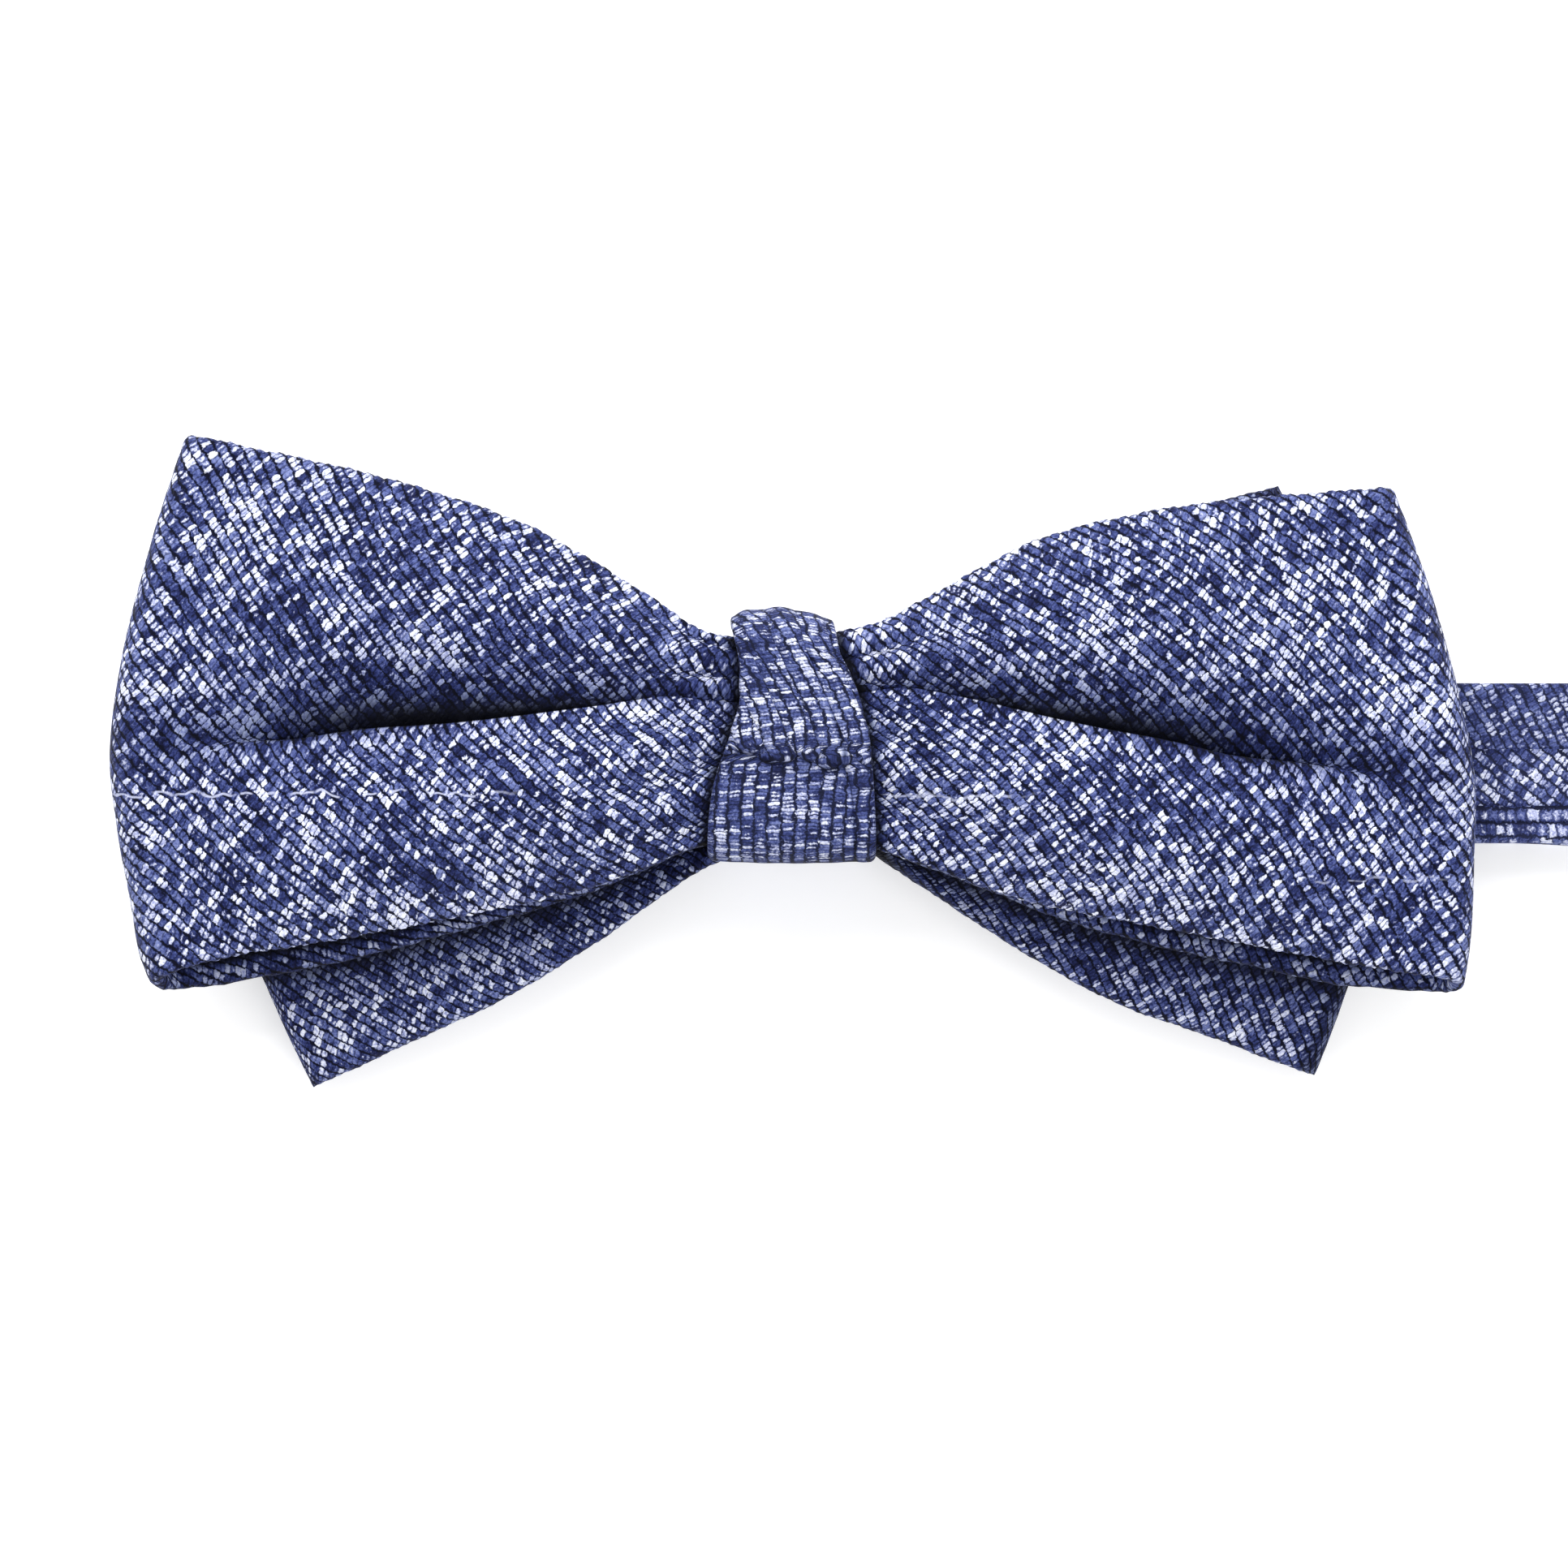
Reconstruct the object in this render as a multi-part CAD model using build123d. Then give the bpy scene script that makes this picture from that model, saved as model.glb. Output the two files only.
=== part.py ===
from build123d import *
import math
import os

# Pre-tied bow tie lying face up: +X to the right as it is looked at, +Y to the top of the bow,
# +Z out of the bow's face. The origin is on the resting plane, behind the middle of the knot.
# All sizes are in millimetres.

# ---- neckband ------------------------------------------------------------------------------
strap_w = 14.3             # width
strap_t = 1.3              # thickness: two fabric layers and the interlining
strap_y = -2.3             # height of its centre line on the bow
turn_x = -45.0             # where it turns back behind the left wing
turn_gap = 1.7             # gap between its two strands
ramp_start_x = 12.0        # the upper strand rises from here, to clear the slider's bar
ramp_end_x = 44.0
ply_z = 4.4                # underside of the upper strand from the end of the rise
ply_start_x = 50.0         # where the adjustable length of strap begins
bend_x = 62.0              # where the lower strand starts to curve away
bend_r = 120.0
bend_deg = 25.0
eye_run = 36.0             # from the end of the curve to the eye's bar
flap_l = 10.0              # strap end folded back over itself and sewn down
return_t = 0.9             # single-layer strap between the hook and the slider
strap_lining_depth = 0.45  # how deep the interlining lies in the strap

# ---- knot ----------------------------------------------------------------------------------
knot_w = 14.7              # width at the bottom edge
knot_top_w = 11.0          # width at the top edge
knot_top_y = 10.8
knot_low_y = -10.9
knot_back_z = 1.7
knot_front_z = 16.4
knot_front_round = 2.8
knot_back_round = 1.7
knot_fabric_t = 0.8
knot_lining_t = 0.4

# ---- front bow: one flat band folded into two loops ------------------------------------------
bow_tip_x = 60.0           # end fold at the middle of each wing
bow_back_z = 9.1           # back layer
bow_layer_t = 1.6
bow_crown_x = 33.0         # the front layer is fullest here
bow_crown_z = 18.7
bow_fold_z = 16.8          # front layer beside the end fold
bow_waist_z = 14.4         # front layer under the knot
bow_flat_x = 9.0           # half width of the level stretch under the knot
waist_half = 8.6           # half height of both bows where the knot grips them
# Wing corners, each with its edge's distance from the middle line at two places along the wing.
edge_x = (30.0, 15.0)
left_top = ((-53.3, 26.9), (21.0, 13.7))
left_low = ((-55.9, -22.2), (16.6, 12.0))
right_top = ((52.9, 22.0), (19.4, 13.9))
right_low = ((59.4, -22.5), (17.4, 12.7))
lining_depth = 0.55        # how deep the interlining lies in a bow's layers
lining_inset = 1.2         # how far it stops short of the fabric's edges
waist_x = 6.0              # half width of the gathered stretch, in plan
tip_margin = 8.0           # the wings' plan runs on past the end folds by this
sweep_margin = 1.3         # the leaning wings are swept past their edges by this factor
fabric_slit = 0.2          # half gap between the fabric's ends
lining_slit = 0.6          # half gap between the interlining's ends
slit_over = 0.3            # the slit's cut passes the back layer by this

# ---- back bow: a flat bow, arched over the neckband ------------------------------------------
tail_t = 2.2
tail_crown_z = 8.8         # top of its arch
tail_arch_r = 95.0
tail_left = [(-47.0, 19.5), (-50.5, -9.0), (-42.2, -30.5)]
tail_right = [(43.4, 22.3), (51.5, -10.0), (46.0, -29.7)]
tail_waist_x = 7.0         # half width of the gathered waist
tail_waist_z = (4.85, 8.0)
tail_neck_x = 11.0         # the wings spread from here
tail_neck_drop = 3.0       # the lower edge there, below the waist's edge
tail_notch_x = 6.0
tail_left_top = (-20.0, 13.2)   # a point on each curved edge
tail_left_low = (-22.0, -21.3)
tail_right_top = (22.0, 15.2)
tail_right_low = (22.0, -20.0)

# ---- metal fittings ------------------------------------------------------------------------
bar_r = 0.7                # round bars that the strap loops pass over
bar_play = 0.08            # running clearance of a strap loop on its bar
sheet_t = 1.2              # stamped plate thickness
arm_w = 1.4
arm_gap = 0.45             # between the strap's edge and a side arm
plate_start = 4.8          # from the bar's centre to the plate beyond the slot
plate_l = 2.0
tongue_w = 7.0
tongue_l = 7.4
curl_r = 0.8               # inside radius of the hook's bend
lip_l = 6.0
hook_x = 140.0
hook_z = 3.8               # height of the hook's bar
hook_loop_l = 6.0
slider_x = 95.0
slider_bar_r = 0.6
slider_half = 4.6          # from the middle bar to each outer bar
slider_play = 0.3
slider_bar_rise = 1.15     # middle of the slider's bar above the strap's returning layer
slider_round = 0.6         # corner rounding
eye_l = 10.4               # from the eye's bar to its outer side
eye_round = 1.2            # rounding of its outer corners

# ---- thread --------------------------------------------------------------------------------
thread_d = 0.5
thread_turns = 4
thread_gap = 0.15          # between two turns
thread_side_play = 0.05    # between the turns and the bows' gathered edges
thread_play = 0.02         # between the turns and the bows' faces
stitch_w = 0.35
stitch_l = 2.2
stitch_h = 0.25
join_count = 6             # stitches over the front bow's join
join_pitch = 2.6
seam_count = 5             # stitches in the knot's seam
seam_pitch = 2.3
tack_count = 11            # stitches in a bar tack
tack_pitch = 1.1
slider_tack_x = 4.0        # from the slider's bar to its bar tack

far = 100.0                # longer than any piece, for cutting blocks
strap_half = strap_w / 2
upper_z = strap_t + turn_gap
arm_in = strap_half + arm_gap
arm_out = arm_in + arm_w
return_z = 2 * hook_z - ply_z - strap_t    # underside of the layer that returns from the hook
slider_bar_z = return_z + slider_bar_rise  # height of the slider's bar, which carries the sewn strap end


def block(x_span, y_span, z_span):
    """Axis-aligned block between pairs of limits, given in either order."""
    spans = [sorted(span) for span in (x_span, y_span, z_span)]
    centre = [sum(span) / 2 for span in spans]
    size = [span[1] - span[0] for span in spans]
    return Pos(*centre) * Box(*size)


def save(shape, name):
    """Write one sub-part under its own name."""
    shape.label = name
    export_step(shape, os.path.join("parts", name + ".step"))


def y_prism(face, low, high):
    """Run an XZ face from y = low to y = high."""
    return Pos(0, low, 0) * extrude(face, amount=high - low, dir=(0, 1, 0))


def xz_polygon(points):
    """Closed face with straight sides in the XZ plane."""
    return make_face(Polyline(*[(x, 0, z) for x, z in points], close=True))


def y_cylinder(x, z, radius, low, high):
    """Round bar along Y."""
    bar = Cylinder(radius, high - low, rotation=(90, 0, 0))
    return Pos(x, (low + high) / 2, z) * bar


# ---- front bow -----------------------------------------------------------------------------
def bow_ring(depth):
    """Cross-section enclosed by the looped band, at a depth inside its outer face."""
    top_waist = bow_waist_z - depth
    top_crown = bow_crown_z - depth
    top_fold = bow_fold_z - depth
    low = bow_back_z + depth
    fold_r = (top_fold - low) / 2
    fold_x = bow_tip_x - depth - fold_r
    edges = []
    for side in (1, -1):
        level = Vector(side * bow_flat_x, 0, top_waist)
        fold_top = Vector(side * fold_x, 0, top_fold)
        fold_low = Vector(side * fold_x, 0, low)
        fold_tip = Vector(side * (fold_x + fold_r), 0, low + fold_r)
        edges.append(Line((0, 0, top_waist), level))
        edges.append(Spline(
            level, (side * bow_crown_x, 0, top_crown), fold_top,
            tangents=((side, 0, 0), (side, 0, 0)),
        ))
        edges.append(ThreePointArc(fold_top, fold_tip, fold_low))
        edges.append(Line(fold_low, (0, 0, low)))
    return make_face(edges)


def bow_quarter_plan(corner, edge_y, inset):
    """Plan of half a wing, from the knot to past its tip, and from the middle to its edge."""
    side = math.copysign(1, corner[0])
    up = math.copysign(1, corner[1])
    x_end = abs(corner[0]) - inset
    y_end = abs(corner[1]) - inset
    waist = waist_half - inset / 2
    x_out = bow_tip_x + tip_margin
    middle = [(x, y - inset) for x, y in zip(edge_x, edge_y)]
    points = [(x_end, y_end)] + middle + [(waist_x, waist)]
    edge = Spline([(side * x, up * y) for x, y in points])
    rim = Polyline(
        (side * waist_x, up * waist), (0, up * waist), (0, 0), (side * x_out, 0),
        (side * x_out, up * y_end), (side * x_end, up * y_end),
    )
    return make_face([edge] + rim.edges())


def bow_band(outer_depth, inner_depth, inset):
    """The looped band between two depths of its wall: four leaning quarters joined."""
    ring = bow_ring(outer_depth) - bow_ring(inner_depth)
    body = None
    for corner, edge_y in (left_top, left_low, right_top, right_low):
        side = math.copysign(1, corner[0])
        up = math.copysign(1, corner[1])
        lean = Vector((corner[0] - side * bow_tip_x) / abs(corner[1]), up, 0)
        sweep = abs(corner[1]) * sweep_margin * lean.length
        swept = extrude(ring, amount=sweep, dir=lean)
        swept = swept & block((0, side * far), (0, up * far), (0, far))
        quarter = swept & extrude(bow_quarter_plan(corner, edge_y, inset), amount=far)
        body = quarter if body is None else body + quarter
    return body


def back_slit(half_width):
    """Where the band's two ends meet, at the middle of the back layer."""
    return block((-half_width, half_width), (-far, far), (0, bow_back_z + bow_layer_t + slit_over))


def front_bow():
    """Fabric band of the front bow and the interlining inside it."""
    inside = bow_band(lining_depth, bow_layer_t - lining_depth, lining_inset)
    fabric = bow_band(0, bow_layer_t, 0) - inside - back_slit(fabric_slit)
    save(fabric, "front_bow_fabric")
    save(inside - back_slit(lining_slit), "front_bow_interlining")


def front_bow_join_stitches():
    """Stitches over the join of the band's ends, on the back layer."""
    stitches = []
    for index in range(join_count):
        y = (index - (join_count - 1) / 2) * join_pitch
        stitches.append(block(
            (-stitch_l / 2, stitch_l / 2),
            (y - stitch_w / 2, y + stitch_w / 2),
            (bow_back_z - stitch_h, bow_back_z),
        ))
    save(Compound(stitches), "front_bow_join_stitches")


# ---- back bow ------------------------------------------------------------------------------
def tail_plan(inset):
    """Plan of the flat back bow, drawn in by an inset."""
    waist = waist_half - inset

    def drawn_in(x, y):
        return (x - math.copysign(inset, x), y - math.copysign(inset, y))

    lt, lm, ll = [drawn_in(*point) for point in tail_left]
    rt, rm, rl = [drawn_in(*point) for point in tail_right]
    neck_low = -waist - tail_neck_drop
    edges = [
        Spline(lt, drawn_in(*tail_left_top), (-tail_neck_x, waist)),
        Line((-tail_neck_x, waist), (tail_neck_x, waist)),
        Spline((tail_neck_x, waist), drawn_in(*tail_right_top), rt),
        Spline(rl, drawn_in(*tail_right_low), (tail_neck_x, neck_low)),
        Line((tail_neck_x, neck_low), (tail_notch_x, -waist)),
        Line((tail_notch_x, -waist), (-tail_notch_x, -waist)),
        Line((-tail_notch_x, -waist), (-tail_neck_x, neck_low)),
        Spline((-tail_neck_x, neck_low), drawn_in(*tail_left_low), ll),
    ]
    return make_face(edges + Polyline(rt, rm, rl).edges() + Polyline(ll, lm, lt).edges())


def tail_layer(outer_depth, inner_depth, inset):
    """Arched sheet between two depths of the back bow, cut to its plan."""
    centre_z = tail_crown_z - tail_arch_r
    tube = Cylinder(tail_arch_r - outer_depth, 2 * far, rotation=(0, 90, 0))
    tube = tube - Cylinder(tail_arch_r - tail_t + inner_depth, 2 * far, rotation=(0, 90, 0))
    return (Pos(0, 0, centre_z) * tube) & extrude(tail_plan(inset), amount=far)


def back_bow():
    """Fabric of the back bow, gathered at the waist, and its interlining."""
    inside = tail_layer(lining_depth, lining_depth, lining_inset)
    inside = inside - block((-tail_waist_x, tail_waist_x), (-far, far), (0, far))
    waist = block(
        (-tail_waist_x, tail_waist_x), (-waist_half, waist_half), tail_waist_z)
    fabric = tail_layer(0, 0, 0) + waist
    save(fabric - inside, "back_bow_fabric")
    save(inside, "back_bow_interlining")


# ---- knot ----------------------------------------------------------------------------------
def knot_band(outer_depth, inner_depth):
    """Band round the waist between two depths of its wall, narrower at the top of the bow."""
    bars = []
    for depth in (outer_depth, inner_depth):
        corners = [
            (0, knot_low_y + depth, knot_back_z + depth),
            (0, knot_top_y - depth, knot_back_z + depth),
            (0, knot_top_y - depth, knot_front_z - depth),
            (0, knot_low_y + depth, knot_front_z - depth),
        ]
        bar = extrude(make_face(Polyline(*corners, close=True)), amount=knot_w / 2, both=True)
        back = bar.edges().filter_by(Axis.X).group_by(Axis.Z)[0]
        bar = fillet(back, knot_back_round - depth)
        front = bar.edges().filter_by(Axis.X).group_by(Axis.Z)[-1]
        bars.append(fillet(front, knot_front_round - depth))
    band = bars[0] - bars[1]
    taper = make_face(Polyline(
        (-knot_w / 2, knot_low_y), (knot_w / 2, knot_low_y),
        (knot_top_w / 2, knot_top_y), (-knot_top_w / 2, knot_top_y), close=True,
    ))
    return band & extrude(taper, amount=far)


def knot():
    """The knot's fabric band and the interlining against its inner face."""
    save(knot_band(0, knot_fabric_t), "knot_wrap_fabric")
    save(knot_band(knot_fabric_t, knot_fabric_t + knot_lining_t), "knot_wrap_interlining")


def knot_seam_stitches():
    """Whip stitches that close the knot's band at the back."""
    stitches = []
    for index in range(seam_count):
        x = (index - (seam_count - 1) / 2) * seam_pitch
        stitches.append(block(
            (x - stitch_w / 2, x + stitch_w / 2),
            (-stitch_l / 2, stitch_l / 2),
            (knot_back_z - stitch_h, knot_back_z),
        ))
    save(Compound(stitches), "knot_seam_stitches")


def gather_thread():
    """Turns of thread that hold both bows gathered under the knot."""
    half = waist_half + thread_d + thread_side_play
    low_z = tail_waist_z[0] - thread_d - thread_play
    high_z = bow_waist_z + thread_d + thread_play
    centre_z = (low_z + high_z) / 2
    outer = RectangleRounded(2 * half, high_z - low_z, thread_d)
    inner = Rectangle(2 * (half - thread_d), high_z - low_z - 2 * thread_d)
    turns = []
    for index in range(thread_turns):
        x = (index - (thread_turns - 1) / 2) * (thread_d + thread_gap)
        ring = Plane.YZ * Pos(0, centre_z) * (outer - inner)
        turns.append(Pos(x, 0, 0) * extrude(ring, amount=thread_d / 2, both=True))
    save(Compound(turns), "gather_thread")


# ---- neckband ------------------------------------------------------------------------------
def bar_loop(x, z, inner_r, outer_r):
    """Disc of strap round a bar, with the bar's hole, as an XZ face."""
    plane = Plane((x, 0, z), x_dir=(1, 0, 0), z_dir=(0, -1, 0))
    return plane * (Circle(outer_r) - Circle(inner_r))


def eye_frame():
    """Place of the eye's bar: the end of the lower strand, turned with it."""
    turn = math.radians(bend_deg)
    x = bend_x + bend_r * math.sin(turn) + eye_run * math.cos(turn)
    y = strap_y - bend_r * (1 - math.cos(turn)) - eye_run * math.sin(turn)
    return Location((x, y, 0), (0, 0, -bend_deg))


def strap_route(depth, inset):
    """The neckband at a depth inside its surface: the strands behind the bow, then the eye's end."""
    half = strap_half - inset
    low = (strap_y - half, strap_y + half)
    centre_z = (upper_z + strap_t) / 2
    ply_top = ply_z + strap_t - depth
    lower = block((turn_x, bend_x), low, (depth, strap_t - depth))
    turn_plane = Plane((turn_x, 0, centre_z), x_dir=(1, 0, 0), z_dir=(0, -1, 0))
    ring = Circle(centre_z - depth) - Circle(turn_gap / 2 + depth)
    turn = y_prism(turn_plane * ring, *low) & block((turn_x, -far), (-far, far), (0, far))
    upper = y_prism(xz_polygon([
        (turn_x, upper_z + depth),
        (ramp_start_x, upper_z + depth),
        (ramp_end_x, ply_z + depth),
        (ply_start_x, ply_z + depth),
        (ply_start_x, ply_top),
        (ramp_end_x, ply_top),
        (ramp_start_x, upper_z + strap_t - depth),
        (turn_x, upper_z + strap_t - depth),
    ]), *low)
    pivot = Pos(bend_x, strap_y - bend_r, 0)
    curve = pivot * extrude(Circle(bend_r + half) - Circle(bend_r - half), amount=strap_t - 2 * depth)
    wedge = make_face(Polyline(
        (0, 0), (0, 2 * bend_r),
        (2 * bend_r * math.tan(math.radians(bend_deg)), 2 * bend_r), close=True,
    ))
    curve = Pos(0, 0, depth) * curve & pivot * extrude(wedge, amount=far)
    run = block((-eye_run, -flap_l), (-half, half), (depth, strap_t - depth))
    return [lower, turn, upper], [curve, eye_frame() * run]


def joined(pieces):
    """All pieces as one solid."""
    body = pieces[0]
    for piece in pieces[1:]:
        body = body + piece
    return body


def neckband():
    """The fixed length of the neckband, with its interlining inside."""
    strands, eye_end = strap_route(0, 0)
    inner_strands, inner_end = strap_route(strap_lining_depth, lining_inset)
    inside = joined(inner_strands + inner_end)
    save(joined(strands) - inside, "neckband_fabric")
    save(joined(eye_end) - inside, "neckband_eye_strap")
    save(inside, "neckband_interlining")


def eye_loop():
    """The strap's end: round the eye's bar and folded back over itself."""
    loop_r = bar_r + bar_play
    loop_z = bar_r + strap_t
    end = xz_polygon([(-flap_l, 0), (0, 0), (0, strap_t), (-flap_l, strap_t)])
    flap = xz_polygon([
        (-flap_l, strap_t), (0, strap_t), (0, 2 * loop_z), (-flap_l, 2 * strap_t),
    ])
    loop = y_prism(end + flap + bar_loop(0, loop_z, loop_r, loop_z), -strap_half, strap_half)
    loop = loop - y_cylinder(0, loop_z, loop_r, -strap_w, strap_w)
    save(eye_frame() * loop, "neckband_eye_loop")


def adjuster_strap():
    """The sliding length of strap, its loop round the hook's bar, and the layer that returns."""
    low = (strap_y - strap_half, strap_y + strap_half)
    end_x = hook_x - hook_loop_l
    top = ply_z + strap_t
    save(block((ply_start_x, end_x), low, (ply_z, top)), "neckband_adjuster_ply")

    layers = xz_polygon([(end_x, ply_z), (hook_x, ply_z), (hook_x, top), (end_x, top)])
    layers = layers + xz_polygon([
        (end_x, return_z), (hook_x, return_z),
        (hook_x, return_z + return_t), (end_x, return_z + return_t),
    ])
    layers = layers + bar_loop(hook_x, hook_z, bar_r + bar_play, top - hook_z)
    loop = y_prism(layers, *low) - y_cylinder(hook_x, hook_z, bar_r + bar_play, -far, far)
    save(loop, "neckband_hook_loop")

    hole_r = slider_bar_r + bar_play
    strip = xz_polygon([
        (slider_x, return_z), (end_x, return_z),
        (end_x, return_z + return_t), (slider_x, return_z + return_t),
    ])
    back = y_prism(strip + bar_loop(slider_x, slider_bar_z, hole_r, slider_bar_rise), *low)
    back = back - y_cylinder(slider_x, slider_bar_z, hole_r, -far, far)
    save(back, "neckband_return_ply")


# ---- fittings ------------------------------------------------------------------------------
def slider():
    """Slider: two outer bars over the strap and a lower middle bar, joined by side plates."""
    top = ply_z + strap_t + slider_play + sheet_t
    low = slider_bar_z - slider_bar_r
    body = y_cylinder(slider_x, slider_bar_z, slider_bar_r, strap_y - arm_in, strap_y + arm_in)
    for side in (-1, 1):
        x = slider_x + side * slider_half
        body = body + block(
            (x - arm_w / 2, x + arm_w / 2), (strap_y - arm_out, strap_y + arm_out),
            (top - sheet_t, top))
        body = body + block(
            (slider_x - slider_half - arm_w / 2, slider_x + slider_half + arm_w / 2),
            (strap_y + side * arm_in, strap_y + side * arm_out), (low, top))
    upright = body.edges().filter_by(Axis.Z).group_by(SortBy.LENGTH)[-1]
    save(fillet(upright, slider_round), "slider")


def hook():
    """Hook: bar for the strap, slotted plate, tongue and the lip bent back over it."""
    half = sheet_t / 2
    body = y_cylinder(hook_x, hook_z, bar_r, strap_y - arm_out, strap_y + arm_out)
    plate_x = hook_x + plate_start
    tongue_x = plate_x + plate_l + tongue_l
    for side in (-1, 1):
        body = body + block(
            (hook_x, plate_x), (strap_y + side * arm_in, strap_y + side * arm_out),
            (hook_z - half, hook_z + half))
    body = body + block(
        (plate_x, plate_x + plate_l), (strap_y - arm_out, strap_y + arm_out),
        (hook_z - half, hook_z + half))
    y_span = (strap_y - tongue_w / 2, strap_y + tongue_w / 2)
    body = body + block((plate_x, tongue_x), y_span, (hook_z - half, hook_z + half))
    curl_z = hook_z + half + curl_r
    curl = bar_loop(tongue_x, curl_z, curl_r, curl_r + sheet_t)
    curl = y_prism(curl, *y_span) & block((tongue_x, far * 2), (-far, far), (-far, far))
    lip_z = curl_z + curl_r
    body = body + curl
    body = body + block((tongue_x - lip_l, tongue_x), y_span, (lip_z, lip_z + sheet_t))
    save(body, "hook")


def eye():
    """Eye: rectangular frame whose inner bar carries the strap and whose slot takes the hook."""
    z = bar_r + strap_t
    half = sheet_t / 2
    body = y_cylinder(0, z, bar_r, -arm_out, arm_out)
    for side in (-1, 1):
        body = body + block((0, eye_l), (side * arm_in, side * arm_out), (z - half, z + half))
    body = body + block((eye_l - arm_w, eye_l), (-arm_out, arm_out), (z - half, z + half))
    corners = body.edges().filter_by(Axis.Z).group_by(Axis.X)[-1]
    save(eye_frame() * fillet(corners, eye_round), "eye")


def bar_tack():
    """A row of close stitches across a strap, in the XY plane, on top of z = 0."""
    stitches = []
    for index in range(tack_count):
        y = (index - (tack_count - 1) / 2) * tack_pitch
        stitches.append(block(
            (-stitch_l / 2, stitch_l / 2), (y - stitch_w / 2, y + stitch_w / 2), (0, stitch_h)))
    return Compound(stitches)


def tacks():
    """Bar tacks at the eye's flap and at the strap end sewn round the slider's bar."""
    flap_slope = math.atan2(2 * bar_r, flap_l)
    on_flap = Location((-flap_l, 0, 2 * strap_t), (0, -math.degrees(flap_slope), 0))
    row = Pos(stitch_l, 0, 0) * bar_tack()
    save(eye_frame() * on_flap * row, "eye_bar_tack")

    place = Pos(slider_x + slider_tack_x, strap_y, return_z - stitch_h)
    save(place * bar_tack(), "slider_bar_tack")


def main():
    os.makedirs("parts", exist_ok=True)
    front_bow()
    front_bow_join_stitches()
    back_bow()
    knot()
    knot_seam_stitches()
    gather_thread()
    neckband()
    eye_loop()
    adjuster_strap()
    slider()
    hook()
    eye()
    tacks()


main()
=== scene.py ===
import math

import bmesh
import bpy
import numpy as np
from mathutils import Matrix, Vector


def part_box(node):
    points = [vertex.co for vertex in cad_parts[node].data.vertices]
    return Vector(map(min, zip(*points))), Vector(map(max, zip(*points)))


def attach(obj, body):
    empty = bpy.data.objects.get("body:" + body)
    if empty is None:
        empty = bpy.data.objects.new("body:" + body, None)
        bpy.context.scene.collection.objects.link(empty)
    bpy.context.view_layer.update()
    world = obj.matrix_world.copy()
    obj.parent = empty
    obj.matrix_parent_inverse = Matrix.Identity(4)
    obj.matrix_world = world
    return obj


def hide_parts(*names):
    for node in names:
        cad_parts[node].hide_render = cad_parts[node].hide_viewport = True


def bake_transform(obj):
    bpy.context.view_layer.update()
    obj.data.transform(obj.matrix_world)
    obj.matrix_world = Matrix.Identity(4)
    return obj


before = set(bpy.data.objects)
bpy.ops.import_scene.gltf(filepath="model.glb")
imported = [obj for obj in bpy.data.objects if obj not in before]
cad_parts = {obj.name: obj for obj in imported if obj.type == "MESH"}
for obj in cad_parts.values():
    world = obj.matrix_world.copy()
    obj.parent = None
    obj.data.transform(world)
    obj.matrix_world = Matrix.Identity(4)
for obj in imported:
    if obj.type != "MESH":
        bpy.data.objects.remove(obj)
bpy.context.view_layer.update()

bpy.ops.object.select_all(action="DESELECT")
mm = 0.001


def operator(operation):
    # a method that joins a socket and another value by one Math node
    return lambda wire, other: wire.maths(operation, other)


class Wire:
    # a shader socket that adds its own Math nodes
    def __init__(self, finish, socket):
        self.finish = finish
        self.socket = socket

    def maths(self, operation, *others):
        settings = dict(operation=operation)
        return self.finish.node("ShaderNodeMath", settings, dict(enumerate((self,) + others)))

    def __rsub__(self, other):
        return self.finish.node("ShaderNodeMath", dict(operation="SUBTRACT"), {0: other, 1: self})

    __add__ = __radd__ = operator("ADD")
    __mul__ = __rmul__ = operator("MULTIPLY")
    __sub__ = operator("SUBTRACT")
    __truediv__ = operator("DIVIDE")
    __pow__ = operator("POWER")


class Finish:
    # one material: nodes are added by type, settings and socket values
    def __init__(self, name):
        self.material = bpy.data.materials.new(name)
        self.material.use_nodes = True
        self.tree = self.material.node_tree
        self.tree.nodes.clear()

    def node(self, kind, settings=None, inputs=None, output=0):
        node = self.tree.nodes.new(kind)
        for key, value in (settings or {}).items():
            if key == "stops":
                self.setStops(node.color_ramp, value)
            else:
                setattr(node, key, value)
        for key, value in (inputs or {}).items():
            if isinstance(value, Wire):
                self.tree.links.new(value.socket, node.inputs[key])
            else:
                node.inputs[key].default_value = value
        return Wire(self, node.outputs[output])

    def setStops(self, ramp, stops):
        while len(ramp.elements) < len(stops):
            ramp.elements.new(0.5)
        for element, (place, colour) in zip(ramp.elements, stops):
            element.position = place
            element.color = paint(*colour)

    def mix(self, factor, first, second):
        settings = dict(data_type="RGBA")
        return self.node("ShaderNodeMix", settings, {0: factor, 6: first, 7: second}, 2)

    def ramp(self, factor, stops):
        return self.node("ShaderNodeValToRGB", dict(stops=stops), {0: factor})

    def between(self, value, low, high):
        # 0 below low, 1 above high, smooth in the middle
        settings = dict(interpolation_type="SMOOTHSTEP")
        return self.node("ShaderNodeMapRange", settings, {0: value, 1: low, 2: high, 3: 0.0, 4: 1.0})

    def surface(self, **sockets):
        values = {key.replace("_", " "): value for key, value in sockets.items()}
        shader = self.node("ShaderNodeBsdfPrincipled", None, values)
        end = self.tree.nodes.new("ShaderNodeOutputMaterial")
        self.tree.links.new(shader.socket, end.inputs[0])
        return self.material


def paint(red, green, blue):
    # sRGB 0-255 to linear, with alpha
    channels = [value / 255 for value in (red, green, blue)]
    return tuple(c / 12.92 if c <= 0.04045 else ((c + 0.055) / 1.055) ** 2.4 for c in channels) + (1.0,)


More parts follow.
